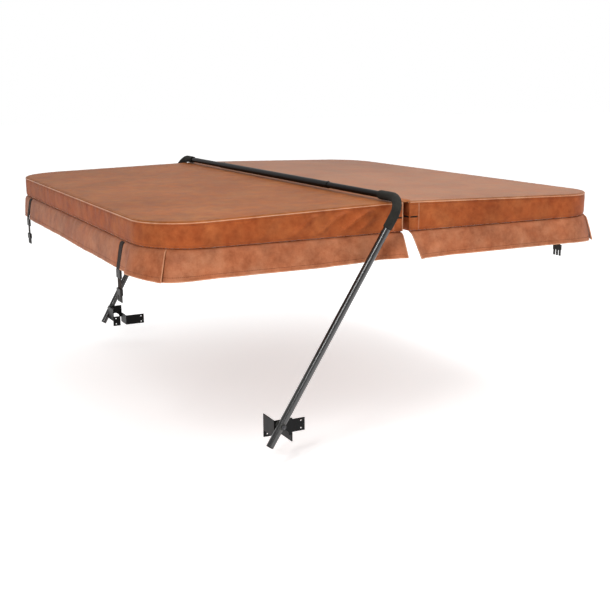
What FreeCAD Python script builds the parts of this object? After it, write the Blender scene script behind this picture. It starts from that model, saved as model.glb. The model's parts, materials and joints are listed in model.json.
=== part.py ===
import FreeCAD, Part
import math
import os
import Sketcher

# Two-piece hot tub cover with a swing-over lifter, in millimetres.
#
# The origin is the centre of the cover's underside, in the plane of the tub's rim. X runs from the
# rear half, where the lifter parks the cover, to the front half. Y runs along the hinge, with the
# near side at -Y. Z is up. Rear near pieces are drawn, and the others are their mirror images.

DIMENSIONS = [
    ("cover_length", 2000, "along X, over both halves"),
    ("cover_width", 2146, "along Y, the length of the hinge"),
    ("corner_round", 220, "plan radius of the four outer corners"),
    ("ridge_height", 115, "thickness beside the hinge"),
    ("end_height", 91, "thickness at the rear and front ends"),
    ("hinge_gap", 28, "between the two halves"),
    ("skin", 2, "vinyl with its backing"),
    ("channel_skin", 1.2, "steel channel along the hinge edge of each foam core"),
    ("channel_leg", 40, "length of the channel's flanges over the foam"),
    ("zipper_rise", 54, "height of the zipper's centre line"),
    ("zipper_tall", 12, "height of the zipper tape"),
    ("zipper_skin", 1.6, "how far the zipper stands proud of the vinyl"),
    ("zipper_wrap", 42, "length of the zipper round each side"),
    ("skirt_drop", 98, "height of the skirt flaps"),
    ("skirt_flare", 24, "how far the flaps' hems stand out"),
    ("skirt_skin", 3, "folded vinyl of a flap"),
    ("skirt_seam", 3, "height of a flap's sewn edge on the band"),
    ("skirt_end_gap", 18, "from the hinge line to the side flaps"),
    ("corner_flap_sweep", 48, "degrees of the corner that a corner flap covers"),
    ("side_flap_sweep", 40, "degrees of the corner that a side flap covers"),
    ("strap_place", 760, "from the middle to a tie-down strap"),
    ("strap_wide", 38, "webbing width"),
    ("strap_skin", 2.4, "webbing, doubled"),
    ("strap_slot", 42, "between the flaps on either side of a strap"),
    ("strap_top", 3, "depth of a strap's upper end"),
    ("strap_end", 184, "depth of a strap's lower end"),
    ("adjuster_top", 104, "depth of the adjuster's upper edge"),
    ("adjuster_tall", 32, "height of the adjuster"),
    ("adjuster_thick", 8, "thickness of the adjuster"),
    ("buckle_top", 174, "depth of the buckle's upper edge"),
    ("buckle_tall", 24, "height of the buckle's body"),
    ("buckle_thick", 11, "thickness of the buckle's body"),
    ("prong_long", 26, "length of the buckle's prongs"),
    ("prong_wide", 9, "width of a prong"),
    ("prong_thick", 5.5, "thickness of a prong"),
    ("hardware_margin", 4, "adjuster and buckle beyond the webbing, each side"),
    ("slider_long", 16, "zipper slider along Y"),
    ("slider_tall", 11, "zipper slider height"),
    ("slider_thick", 4, "zipper slider thickness"),
    ("slider_place", 1010, "from the middle to the closed sliders"),
    ("pull_drop", 26, "length of the slider's pull"),
    ("pull_inset", 4, "from a slider's ends to its pull"),
    ("clearance", 0.3, "between pieces that move past each other"),
    ("close_fit", 0.1, "between pieces that nearly touch"),
    ("bar_place", 62, "from the hinge line back to the crossbar's axis"),
    ("bar_rise", 134.5, "height of the crossbar's axis"),
    ("arm_reach", 940, "from the crossbar's axis to the pivots, square to both"),
    ("arm_lean", 30.5, "degrees from upright"),
    ("elbow_out", 1146, "from the middle to where arm and crossbar lines meet"),
    ("pivot_out", 1093, "from the middle to the arm's axis at the pivot"),
    ("arm_radius", 14.3, "lower arm tube"),
    ("arm_wall", 1.3, "lower arm tube"),
    ("arm_gap", 2, "from a sleeve to its arm tube"),
    ("stub_long", 85, "arm beyond the pivot"),
    ("cap_skin", 4, "flange of an arm's end cap"),
    ("cap_plug", 15, "depth of an end cap's plug"),
    ("elbow_radius", 12.7, "bent elbow tube"),
    ("elbow_wall", 1.5, "bent elbow tube"),
    ("bend_radius", 70, "axis of the elbow's bend"),
    ("elbow_drop", 234, "elbow tube along the arm from the corner"),
    ("elbow_inner", 498, "from the middle to the elbow tube's other end"),
    ("crossbar_half", 578, "half the centre tube's length"),
    ("crossbar_radius", 14.5, "centre tube"),
    ("crossbar_wall", 1.5, "centre tube"),
    ("sleeve_radius", 18, "foam sleeve over an elbow"),
    ("sleeve_drop", 122, "sleeve along the arm from the corner"),
    ("sleeve_inner", 988, "from the middle to the sleeve's other end"),
    ("screw_radius", 3.2, "heads of the screws that lock the tubes"),
    ("screw_head", 2.6, "height of those heads"),
    ("screw_inset", 18, "from a tube's end to its screw"),
    ("wall_out", 978, "from the middle to the cabinet's side"),
    ("bracket_depth", 95, "from the cabinet to the bracket's face"),
    ("bracket_plate", 4, "thickness of the bracket's steel"),
    ("face_behind", 20, "bracket's face behind the pivot"),
    ("face_ahead", 56, "bracket's face ahead of the pivot"),
    ("face_above", 16, "bracket's face above the pivot"),
    ("face_below", 50, "bracket's face below the pivot"),
    ("arch_radius", 24, "relief in the lower edge of the face"),
    ("flange_wide", 98, "outer flange against the cabinet"),
    ("inner_flange", 40, "inner flange, turned under the face"),
    ("flange_tall", 52, "height of both flanges"),
    ("flange_sink", 77, "pivot to the flanges' lower edge"),
    ("hole_radius", 3.1, "holes for the cabinet screws"),
    ("hole_inset", 16, "from the flanges' outer edges to the holes"),
    ("hole_pitch", 30, "between the upper and lower holes"),
    ("bolt_radius", 5, "pivot bolt"),
    ("bolt_head", 9, "radius of the bolt's head"),
    ("head_tall", 6, "height of the bolt's head"),
    ("nut_tall", 8, "height of the pivot nut"),
    ("bolt_spare", 2, "thread beyond the nut"),
    ("bush_wall", 1.2, "nylon bush in the arm"),
    ("pivot_play", 1, "round a bush, and beside an arm, because the arm leans"),
    ("washer_radius", 13, "washers at the pivot"),
    ("washer_skin", 1.6, "outer washer"),
]

document = FreeCAD.newDocument("spa_cover")
sheet = document.addObject("Spreadsheet::Sheet", "sizes")
for row, (alias, value, note) in enumerate(DIMENSIONS, start=1):
    sheet.set(f"A{row}", note)
    sheet.set(f"B{row}", str(value))
    sheet.setAlias(f"B{row}", alias)
document.recompute()

X_AXIS = FreeCAD.Vector(1, 0, 0)
Y_AXIS = FreeCAD.Vector(0, 1, 0)
Z_AXIS = FreeCAD.Vector(0, 0, 1)

# The tool of a cut reaches this far past each face that it opens.
OVERCUT = 1.0

kept = []


def size(alias):
    """The number in one named cell of the sheet."""
    return float(sheet.get(alias))


def evaluate(expression):
    """The value of an expression over the sheet, used as a sketch's starting point."""
    return float(sheet.evalExpression(expression))


def keep(label, item):
    """Names a sub-part, which is written to a file of that name."""
    item.Label = label
    kept.append(item)
    return item


def bind(item, expressions):
    """Ties properties to expressions over the sheet."""
    for name, expression in expressions.items():
        item.setExpression(name, expression)
    return item


def roof(distance):
    """Height of the sloping top at a distance from the hinge line."""
    run = "(sizes.cover_length/2 - sizes.hinge_gap/2)"
    fall = "(sizes.ridge_height - sizes.end_height)"
    return f"(sizes.ridge_height - {fall}*({distance} - sizes.hinge_gap/2)/{run})"


# --- PartDesign helpers ---------------------------------------------------------------------------


def new_body(name):
    return document.addObject("PartDesign::Body", name)


def origin_plane(body, role):
    return next(item for item in body.Origin.OriginFeatures if item.Role == role)


def new_sketch(body, name, role, offset="0"):
    """A sketch on one of its body's origin planes, moved along the plane's normal."""
    sketch = body.newObject("Sketcher::SketchObject", name)
    sketch.AttachmentSupport = [(origin_plane(body, role), "")]
    sketch.MapMode = "FlatFace"
    sketch.setExpression("AttachmentOffset.Base.z", offset)
    return sketch


def pin_point(sketch, geometry, vertex, place):
    """Holds one vertex at a place given by two expressions."""
    for kind, expression in zip(("DistanceX", "DistanceY"), place):
        number = sketch.addConstraint(
            Sketcher.Constraint(kind, -1, 1, geometry, vertex, evaluate(expression))
        )
        sketch.setExpression(f"Constraints[{number}]", expression)


def draw_polygon(sketch, places):
    """A closed outline whose corners are pairs of expressions."""
    corners = [FreeCAD.Vector(evaluate(x), evaluate(y), 0) for x, y in places]
    first = sketch.GeometryCount
    count = len(corners)
    for index in range(count):
        sketch.addGeometry(Part.LineSegment(corners[index], corners[(index + 1) % count]), False)
    for index in range(count):
        following = first + (index + 1) % count
        sketch.addConstraint(Sketcher.Constraint("Coincident", first + index, 2, following, 1))
    for index, place in enumerate(places):
        pin_point(sketch, first + index, 1, place)


def draw_circle(sketch, place, radius):
    """A circle about a place, both given by expressions."""
    centre = FreeCAD.Vector(evaluate(place[0]), evaluate(place[1]), 0)
    number = sketch.addGeometry(Part.Circle(centre, Z_AXIS, evaluate(radius)), False)
    pin_point(sketch, number, 3, place)
    rule = sketch.addConstraint(Sketcher.Constraint("Radius", number, evaluate(radius)))
    sketch.setExpression(f"Constraints[{rule}]", radius)


def draw_axis(sketch, place):
    """A construction line straight up from a place, the sketch's first axis."""
    start = FreeCAD.Vector(evaluate(place[0]), evaluate(place[1]), 0)
    number = sketch.addGeometry(Part.LineSegment(start, start + Y_AXIS), True)
    pin_point(sketch, number, 1, place)
    sketch.addConstraint(Sketcher.Constraint("Vertical", number))
    sketch.addConstraint(Sketcher.Constraint("Distance", number, 1.0))


def pad(body, name, sketch, length, symmetric=False, reverse=False):
    feature = body.newObject("PartDesign::Pad", name)
    feature.Profile = sketch
    feature.setExpression("Length", length)
    feature.SideType = "Symmetric" if symmetric else "One side"
    feature.Reversed = reverse
    document.recompute()
    return feature


def revolve(body, name, sketch, angle, reverse=False):
    feature = body.newObject("PartDesign::Revolution", name)
    feature.Profile = sketch
    feature.ReferenceAxis = (sketch, ["Axis0"])
    feature.setExpression("Angle", angle)
    feature.Reversed = reverse
    document.recompute()
    return feature


def round_outer_corners(body, name, base, distance, radius):
    """Rounds the upright edges that stand at a distance from the hinge line."""
    reach = evaluate(distance)
    names = []
    for number, edge in enumerate(base.Shape.Edges, start=1):
        box = edge.BoundBox
        upright = box.ZLength > 1 and box.XLength < 0.01 and box.YLength < 0.01
        if upright and abs(abs(box.XMin) - reach) < 0.01:
            names.append(f"Edge{number}")
    feature = body.newObject("PartDesign::Fillet", name)
    feature.Base = (base, names)
    feature.setExpression("Radius", radius)
    document.recompute()
    return feature


# --- Part helpers ---------------------------------------------------------------------------------


def block(name, low, high):
    """A box between two corners, each three expressions."""
    item = document.addObject("Part::Box", name)
    spans = {}
    for side, axis, start, end in zip(("Length", "Width", "Height"), "xyz", low, high):
        spans[side] = f"({end}) - ({start})"
        spans[f"Placement.Base.{axis}"] = start
    return bind(item, spans)


def rod(name, centre, radius, long, axis):
    """A cylinder from a place along one of the three axes."""
    item = document.addObject("Part::Cylinder", name)
    item.Placement = FreeCAD.Placement(FreeCAD.Vector(), FreeCAD.Rotation(Z_AXIS, axis))
    sizes = {"Radius": radius, "Height": long}
    for letter, place in zip("xyz", centre):
        sizes[f"Placement.Base.{letter}"] = place
    return bind(item, sizes)


def cut(name, base, tool):
    item = document.addObject("Part::Cut", name)
    item.Base = base
    item.Tool = tool
    return item


def join(name, pieces):
    item = document.addObject("Part::MultiFuse", name)
    item.Shapes = pieces
    return item


def gather(name, pieces):
    """Keeps separate solids together as one sub-part."""
    item = document.addObject("Part::Compound", name)
    item.Links = pieces
    return item


def mirror(label, source, normal):
    """A sub-part that is the mirror image of another through the origin."""
    item = document.addObject("Part::Mirroring", label)
    item.Source = source
    item.Base = FreeCAD.Vector(0, 0, 0)
    item.Normal = normal
    return item


# --- one half of the cover ------------------------------------------------------------------------

HALF_LONG = "sizes.cover_length/2"
HALF_WIDE = "sizes.cover_width/2"
HINGE_FACE = "sizes.hinge_gap/2"


def tapered_slab(name, start, end, low, high, side_inset, radius):
    """A slab with a sloping top over a range of distances from the hinge line.

    low is its lower face's height, and high is how far its top lies under the cover's."""
    body = new_body(name)
    sketch = new_sketch(body, f"{name}_outline", "XZ_Plane")
    draw_polygon(
        sketch,
        [
            (f"-({start})", low),
            (f"-({end})", low),
            (f"-({end})", f"{roof(end)} - {high}"),
            (f"-({start})", f"{roof(start)} - {high}"),
        ],
    )
    span = f"sizes.cover_width - 2*({side_inset})"
    slab = pad(body, f"{name}_pad", sketch, span, symmetric=True)
    round_outer_corners(body, f"{name}_corners", slab, end, radius)
    return body


def foam_core():
    """Tapered foam board, rebated along the hinge for its steel channel."""
    body = new_body("foam")
    sketch = new_sketch(body, "foam_outline", "XZ_Plane")
    end = "(sizes.cover_length/2 - sizes.skin)"
    web = "(sizes.hinge_gap/2 + sizes.skin + sizes.channel_skin)"
    leg = "(sizes.hinge_gap/2 + sizes.skin + sizes.channel_leg)"
    low = "sizes.skin"
    low_rebate = "sizes.skin + sizes.channel_skin"
    draw_polygon(
        sketch,
        [
            (f"-{web}", low_rebate),
            (f"-{leg}", low_rebate),
            (f"-{leg}", low),
            (f"-{end}", low),
            (f"-{end}", f"{roof(end)} - sizes.skin"),
            (f"-{leg}", f"{roof(leg)} - sizes.skin"),
            (f"-{leg}", f"{roof(leg)} - sizes.skin - sizes.channel_skin"),
            (f"-{web}", f"{roof(web)} - sizes.skin - sizes.channel_skin"),
        ],
    )
    board = pad(body, "foam_pad", sketch, "sizes.cover_width - 2*sizes.skin", symmetric=True)
    round_outer_corners(body, "foam_corners", board, end, "sizes.corner_round - sizes.skin")
    return body


def hinge_channel():
    """Folded steel channel that stiffens the foam along the hinge."""
    body = new_body("channel")
    sketch = new_sketch(body, "channel_outline", "XZ_Plane")
    back = "(sizes.hinge_gap/2 + sizes.skin)"
    web = "(sizes.hinge_gap/2 + sizes.skin + sizes.channel_skin)"
    leg = "(sizes.hinge_gap/2 + sizes.skin + sizes.channel_leg)"
    low = "sizes.skin"
    low_inner = "sizes.skin + sizes.channel_skin"
    draw_polygon(
        sketch,
        [
            (f"-{back}", low),
            (f"-{leg}", low),
            (f"-{leg}", low_inner),
            (f"-{web}", low_inner),
            (f"-{web}", f"{roof(web)} - sizes.skin - sizes.channel_skin"),
            (f"-{leg}", f"{roof(leg)} - sizes.skin - sizes.channel_skin"),
            (f"-{leg}", f"{roof(leg)} - sizes.skin"),
            (f"-{back}", f"{roof(back)} - sizes.skin"),
        ],
    )
    pad(body, "channel_pad", sketch, "sizes.cover_width - 2*sizes.skin", symmetric=True)
    return body


def top_panel():
    """Vinyl sheet over the sloping top: the whole slab less all that lies under the sheet."""
    slab = tapered_slab(
        "top_slab", HINGE_FACE, HALF_LONG, "sizes.skin", "0", "0", "sizes.corner_round"
    )
    below = new_body("below_top")
    sketch = new_sketch(below, "below_top_outline", "XZ_Plane")
    start = f"({HINGE_FACE} - {OVERCUT})"
    end = f"({HALF_LONG} + {OVERCUT})"
    draw_polygon(
        sketch,
        [
            (f"-{start}", f"sizes.skin - {OVERCUT}"),
            (f"-{end}", f"sizes.skin - {OVERCUT}"),
            (f"-{end}", f"{roof(end)} - sizes.skin"),
            (f"-{start}", f"{roof(start)} - sizes.skin"),
        ],
    )
    pad(below, "below_top_pad", sketch, f"sizes.cover_width + {2 * OVERCUT}", symmetric=True)
    return cut("top", slab, below)


def underside_panel():
    """Flat vinyl sheet that lies on the tub's rim."""
    body = new_body("under")
    sketch = new_sketch(body, "under_outline", "XZ_Plane")
    draw_polygon(
        sketch,
        [
            (f"-({HINGE_FACE})", "0"),
            (f"-({HALF_LONG})", "0"),
            (f"-({HALF_LONG})", "sizes.skin"),
            (f"-({HINGE_FACE})", "sizes.skin"),
        ],
    )
    sheet_pad = pad(body, "under_pad", sketch, "sizes.cover_width", symmetric=True)
    round_outer_corners(body, "under_corners", sheet_pad, HALF_LONG, "sizes.corner_round")
    return body


def side_band():
    """Vinyl band round all four sides of a half, between its two panels."""
    outer = tapered_slab(
        "band_outer", HINGE_FACE, HALF_LONG, "sizes.skin", "sizes.skin", "0", "sizes.corner_round"
    )
    inner = tapered_slab(
        "band_inner",
        f"{HINGE_FACE} + sizes.skin",
        f"{HALF_LONG} - sizes.skin",
        f"sizes.skin - {OVERCUT}",
        f"(sizes.skin - {OVERCUT})",
        "sizes.skin",
        "sizes.corner_round - sizes.skin",
    )
    return cut("band", outer, inner)


def zipper():
    """Zipper along the hinge face that also wraps a little way round both sides."""
    low = "sizes.zipper_rise - sizes.zipper_tall/2"
    high = "sizes.zipper_rise + sizes.zipper_tall/2"
    proud_face = f"-({HINGE_FACE} - sizes.zipper_skin)"
    proud_side = f"{HALF_WIDE} + sizes.zipper_skin"
    along = block(
        "zip_along",
        (f"-({HINGE_FACE})", f"-({proud_side})", low),
        (proud_face, proud_side, high),
    )
    wraps = []
    for side, (start, end) in {
        "near": (f"-({proud_side})", f"-({HALF_WIDE})"),
        "far": (HALF_WIDE, proud_side),
    }.items():
        wraps.append(
            block(
                f"zip_{side}",
                (f"-({HINGE_FACE} + sizes.zipper_wrap)", start, low),
                (f"-({HINGE_FACE})", end, high),
            )
        )
    return join("zip", [along, *wraps])


def zipper_slider():
    """Slider with its pull, on the hinge face near the end of the zipper."""
    back = f"-({HINGE_FACE} - sizes.zipper_skin - sizes.clearance)"
    front = f"-({HINGE_FACE} - sizes.zipper_skin - sizes.clearance - sizes.slider_thick)"
    pull = f"-({HINGE_FACE} - sizes.zipper_skin - sizes.clearance - sizes.slider_thick/2)"
    low = "sizes.zipper_rise - sizes.slider_tall/2"
    slider = block(
        "slider_shell",
        (back, "-sizes.slider_place", low),
        (front, "-sizes.slider_place + sizes.slider_long", "sizes.zipper_rise + sizes.slider_tall/2"),
    )
    tab = block(
        "slider_tab",
        (pull, "-sizes.slider_place + sizes.pull_inset", f"{low} - sizes.pull_drop"),
        (front, "-sizes.slider_place + sizes.slider_long - sizes.pull_inset", low),
    )
    return join("slider", [slider, tab])


def skirt_profile(edge):
    """Section of a flap: its sewn edge lies on the band, and the rest hangs down and outwards."""
    return [
        (f"-({edge})", "sizes.skirt_seam"),
        (f"-({edge} + sizes.skirt_skin)", "sizes.skirt_seam"),
        (f"-({edge} + sizes.skirt_skin)", "0"),
        (f"-({edge} + sizes.skirt_flare)", "-sizes.skirt_drop"),
        (f"-({edge} + sizes.skirt_flare - sizes.skirt_skin)", "-sizes.skirt_drop"),
        (f"-({edge})", "0"),
    ]


def side_skirt():
    """Near flap: straight from the hinge, then part of the corner."""
    body = new_body("side_flap")
    offset = f"-({HALF_LONG} - sizes.corner_round)"
    sketch = new_sketch(body, "side_flap_section", "YZ_Plane", offset)
    draw_polygon(sketch, skirt_profile(HALF_WIDE))
    draw_axis(sketch, (f"-({HALF_WIDE} - sizes.corner_round)", "0"))
    run = f"{HALF_LONG} - sizes.corner_round - sizes.skirt_end_gap"
    pad(body, "side_flap_run", sketch, run)
    revolve(body, "side_flap_corner", sketch, "sizes.side_flap_sweep", reverse=True)
    return body


def end_skirt():
    """End flap: straight, between the two straps of its end."""
    body = new_body("end_flap")
    sketch = new_sketch(body, "end_flap_section", "XZ_Plane")
    draw_polygon(sketch, skirt_profile(HALF_LONG))
    pad(body, "end_flap_pad", sketch, "2*sizes.strap_place - sizes.strap_slot", symmetric=True)
    return body


def corner_skirt():
    """Corner flap: straight from the near strap, then the rest of the corner."""
    body = new_body("corner_flap")
    offset = f"{HALF_WIDE} - sizes.corner_round"
    sketch = new_sketch(body, "corner_flap_section", "XZ_Plane", offset)
    draw_polygon(sketch, skirt_profile(HALF_LONG))
    draw_axis(sketch, (f"-({HALF_LONG} - sizes.corner_round)", "0"))
    run = f"{offset} - sizes.strap_place - sizes.strap_slot/2"
    pad(body, "corner_flap_run", sketch, run, reverse=True)
    revolve(body, "corner_flap_corner", sketch, "sizes.corner_flap_sweep")
    return body


# --- tie-down straps ------------------------------------------------------------------------------

STRAP_TOP_OUT = "sizes.cover_length/2"
STRAP_HEM_OUT = "sizes.cover_length/2 + sizes.skirt_flare - sizes.skirt_skin"


def strap_webbing():
    """Doubled webbing that hangs between two flaps and below them."""
    body = new_body("strap")
    start = "sizes.strap_place - sizes.strap_wide/2"
    sketch = new_sketch(body, "strap_side", "XZ_Plane", start)
    draw_polygon(
        sketch,
        [
            (f"-({STRAP_TOP_OUT})", "-sizes.strap_top"),
            (f"-({STRAP_TOP_OUT} + sizes.strap_skin)", "-sizes.strap_top"),
            (f"-({STRAP_HEM_OUT} + sizes.strap_skin)", "-sizes.skirt_drop"),
            (f"-({STRAP_HEM_OUT} + sizes.strap_skin)", "-sizes.strap_end"),
            (f"-({STRAP_HEM_OUT})", "-sizes.strap_end"),
            (f"-({STRAP_HEM_OUT})", "-sizes.skirt_drop - sizes.clearance"),
        ],
    )
    pad(body, "strap_pad", sketch, "sizes.strap_wide")
    return body


def around_strap(name, margin, top, tall, thick):
    """A block about the hanging stretch of the webbing."""
    middle = f"({STRAP_HEM_OUT} + sizes.strap_skin/2)"
    half = f"(sizes.strap_wide/2 + {margin})"
    return block(
        name,
        (f"-{middle} - ({thick})/2", f"-sizes.strap_place - {half}", f"-({top}) - ({tall})"),
        (f"-{middle} + ({thick})/2", f"-sizes.strap_place + {half}", f"-({top})"),
    )


def strap_adjuster():
    """Slotted adjuster that the webbing threads through."""
    shell = around_strap(
        "adjuster_shell",
        "sizes.hardware_margin",
        "sizes.adjuster_top",
        "sizes.adjuster_tall",
        "sizes.adjuster_thick",
    )
    slot = around_strap(
        "adjuster_slot",
        "sizes.clearance",
        f"sizes.adjuster_top - {OVERCUT}",
        f"sizes.adjuster_tall + {2 * OVERCUT}",
        "sizes.strap_skin + 2*sizes.clearance",
    )
    return cut("adjuster", shell, slot)


def strap_buckle():
    """Plug half of a side-release buckle: a body and three prongs."""
    shell = around_strap(
        "buckle_shell",
        "sizes.hardware_margin",
        "sizes.buckle_top",
        "sizes.buckle_tall",
        "sizes.buckle_thick",
    )
    pocket = around_strap(
        "buckle_pocket",
        "sizes.clearance",
        f"sizes.buckle_top - {OVERCUT}",
        f"sizes.strap_end - sizes.buckle_top + {OVERCUT} + sizes.clearance",
        "sizes.strap_skin + 2*sizes.clearance",
    )
    socket = cut("buckle_body", shell, pocket)
    middle = f"({STRAP_HEM_OUT} + sizes.strap_skin/2)"
    reach = "(sizes.strap_wide/2 + sizes.hardware_margin - sizes.prong_wide/2)"
    prongs = []
    for number, shift in enumerate((f"-{reach}", "0", reach)):
        place = f"-sizes.strap_place + {shift}"
        prongs.append(
            block(
                f"buckle_prong_{number}",
                (
                    f"-{middle} - sizes.prong_thick/2",
                    f"{place} - sizes.prong_wide/2",
                    "-sizes.buckle_top - sizes.buckle_tall - sizes.prong_long",
                ),
                (
                    f"-{middle} + sizes.prong_thick/2",
                    f"{place} + sizes.prong_wide/2",
                    "-sizes.buckle_top - sizes.buckle_tall",
                ),
            )
        )
    return join("buckle", [socket, *prongs])


# --- lifter ---------------------------------------------------------------------------------------


def lifter_plane():
    """The leaning plane that holds an arm, its elbow and the crossbar's axis."""
    place = FreeCAD.Vector(-size("bar_place"), 0, size("bar_rise"))
    return FreeCAD.Placement(place, FreeCAD.Rotation(Y_AXIS, size("arm_lean")))


def arm_splay():
    """Degrees that an arm leans outwards from its pivot to its elbow."""
    return math.degrees(math.atan2(size("elbow_out") - size("pivot_out"), size("arm_reach")))


def arm_place():
    """Frame at the near pivot with its Z axis along the arm."""
    pivot = FreeCAD.Vector(0, -size("pivot_out"), -size("arm_reach"))
    turn = FreeCAD.Rotation(X_AXIS, arm_splay())
    return lifter_plane().multiply(FreeCAD.Placement(pivot, turn))


ARM_LONG = "sqrt(sizes.arm_reach^2 + (sizes.elbow_out - sizes.pivot_out)^2)"
ARM_TOP = f"({ARM_LONG} - sizes.sleeve_drop - sizes.arm_gap)"


def draw_elbow_path(sketch, inner, drop):
    """Along the crossbar to the elbow, round the bend and down the arm."""
    corner = FreeCAD.Vector(-size("elbow_out"), 0, 0)
    pivot = FreeCAD.Vector(-size("pivot_out"), -size("arm_reach"), 0)
    down = (pivot - corner).normalize()
    turn = math.pi - math.radians(90 - arm_splay())
    tangent = size("bend_radius") * math.tan(turn / 2)
    on_bar = corner + X_AXIS * tangent
    on_arm = corner + down * tangent
    centre = on_bar - Y_AXIS * size("bend_radius")
    middle = centre + (corner - centre).normalize() * size("bend_radius")
    start = FreeCAD.Vector(-evaluate(inner), 0, 0)
    finish = corner + down * evaluate(drop)
    bar = sketch.addGeometry(Part.LineSegment(start, on_bar), False)
    bend = sketch.addGeometry(Part.Arc(on_bar, middle, on_arm), False)
    arm = sketch.addGeometry(Part.LineSegment(on_arm, finish), False)
    line = sketch.addGeometry(Part.LineSegment(corner, pivot), True)
    bend_arc = sketch.Geometry[bend]
    bend_starts_at_bar = bend_arc.StartPoint.distanceToPoint(on_bar) < 0.01
    bar_end, arm_end = (1, 2) if bend_starts_at_bar else (2, 1)
    sketch.addConstraint(Sketcher.Constraint("Tangent", bar, 2, bend, bar_end))
    sketch.addConstraint(Sketcher.Constraint("Tangent", bend, arm_end, arm, 1))
    pin_point(sketch, line, 1, ("-sizes.elbow_out", "0"))
    pin_point(sketch, line, 2, ("-sizes.pivot_out", "-sizes.arm_reach"))
    pin_point(sketch, bar, 1, (f"-({inner})", "0"))
    sketch.addConstraint(Sketcher.Constraint("Horizontal", bar))
    sketch.addConstraint(Sketcher.Constraint("PointOnObject", arm, 1, line))
    sketch.addConstraint(Sketcher.Constraint("PointOnObject", arm, 2, line))
    rule = sketch.addConstraint(Sketcher.Constraint("Radius", bend, size("bend_radius")))
    sketch.setExpression(f"Constraints[{rule}]", "sizes.bend_radius")
    rule = sketch.addConstraint(Sketcher.Constraint("Distance", line, 1, arm, 2, evaluate(drop)))
    sketch.setExpression(f"Constraints[{rule}]", drop)


def bent_tube(name, outer, inner, start, drop):
    """A tube that follows the elbow's path."""
    body = new_body(name)
    path = new_sketch(body, f"{name}_path", "YZ_Plane")
    draw_elbow_path(path, start, drop)
    section = new_sketch(body, f"{name}_section", "XZ_Plane", start)
    draw_circle(section, ("0", "0"), outer)
    draw_circle(section, ("0", "0"), inner)
    document.recompute()
    pipe = body.newObject("PartDesign::AdditivePipe", f"{name}_pipe")
    pipe.Profile = section
    pipe.Spine = path
    document.recompute()
    body.Placement = lifter_plane()
    return body


def elbow_tube():
    bore = "sizes.elbow_radius - sizes.elbow_wall"
    return bent_tube("elbow", "sizes.elbow_radius", bore, "sizes.elbow_inner", "sizes.elbow_drop")


def foam_sleeve():
    bore = "sizes.elbow_radius + sizes.clearance"
    return bent_tube("sleeve", "sizes.sleeve_radius", bore, "sizes.sleeve_inner", "sizes.sleeve_drop")


def lower_arm():
    """Straight tube with a stub below its pivot and a cross hole for the bush."""
    body = new_body("arm")
    section = new_sketch(body, "arm_section", "XY_Plane", "-sizes.stub_long")
    draw_circle(section, ("0", "0"), "sizes.arm_radius")
    draw_circle(section, ("0", "0"), "sizes.arm_radius - sizes.arm_wall")
    pad(body, "arm_pad", section, f"{ARM_TOP} + sizes.stub_long")
    hole = new_sketch(body, "arm_hole", "XZ_Plane")
    draw_circle(hole, ("0", "0"), "sizes.bolt_radius + sizes.bush_wall + sizes.pivot_play")
    drilled = body.newObject("PartDesign::Pocket", "arm_pocket")
    drilled.Profile = hole
    drilled.setExpression("Length", f"2*(sizes.arm_radius + {OVERCUT})")
    drilled.SideType = "Symmetric"
    document.recompute()
    body.Placement = arm_place()
    return body


def arm_cap():
    """Plastic cap plugged into the arm's lower end."""
    flange = rod("cap_flange", ("0", "0", "0"), "sizes.arm_radius", "sizes.cap_skin", Z_AXIS)
    plug_radius = "sizes.arm_radius - sizes.arm_wall - sizes.close_fit"
    plug = rod("cap_plug", ("0", "0", "sizes.cap_skin"), plug_radius, "sizes.cap_plug", Z_AXIS)
    cap = join("cap", [flange, plug])
    drop = FreeCAD.Vector(0, 0, -size("stub_long") - size("cap_skin"))
    cap.Placement = arm_place().multiply(FreeCAD.Placement(drop, FreeCAD.Rotation()))
    return cap


def crossbar():
    """Centre tube over the inner ends of both elbows."""
    body = new_body("bar")
    section = new_sketch(body, "bar_section", "XZ_Plane")
    draw_circle(section, ("0", "0"), "sizes.crossbar_radius")
    draw_circle(section, ("0", "0"), "sizes.crossbar_radius - sizes.crossbar_wall")
    pad(body, "bar_pad", section, "2*sizes.crossbar_half", symmetric=True)
    body.Placement = lifter_plane()
    return body


def lock_screws():
    """Screw heads that lock each elbow in the crossbar and in its arm."""
    on_bar = rod(
        "bar_screw",
        ("0", "-sizes.crossbar_half + sizes.screw_inset", "sizes.crossbar_radius + sizes.close_fit"),
        "sizes.screw_radius",
        "sizes.screw_head",
        Z_AXIS,
    )
    bar_group = gather("bar_screw_group", [on_bar])
    bar_group.Placement = lifter_plane()
    on_arm = rod(
        "arm_screw",
        (
            "-sizes.arm_radius - sizes.close_fit - sizes.screw_head",
            "0",
            f"{ARM_TOP} - sizes.screw_inset",
        ),
        "sizes.screw_radius",
        "sizes.screw_head",
        X_AXIS,
    )
    arm_group = gather("arm_screw_group", [on_arm])
    arm_group.Placement = arm_place()
    near = gather("near_screws", [bar_group, arm_group])
    return gather("screws", [near, mirror("far_screws", near, Y_AXIS)])


# --- pivots and brackets --------------------------------------------------------------------------

PIVOT_X = "(-sizes.bar_place - sizes.arm_reach*sin(sizes.arm_lean*1deg))"
PIVOT_Z = "(sizes.bar_rise - sizes.arm_reach*cos(sizes.arm_lean*1deg))"
FACE_OUT = "(sizes.wall_out + sizes.bracket_depth)"


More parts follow.
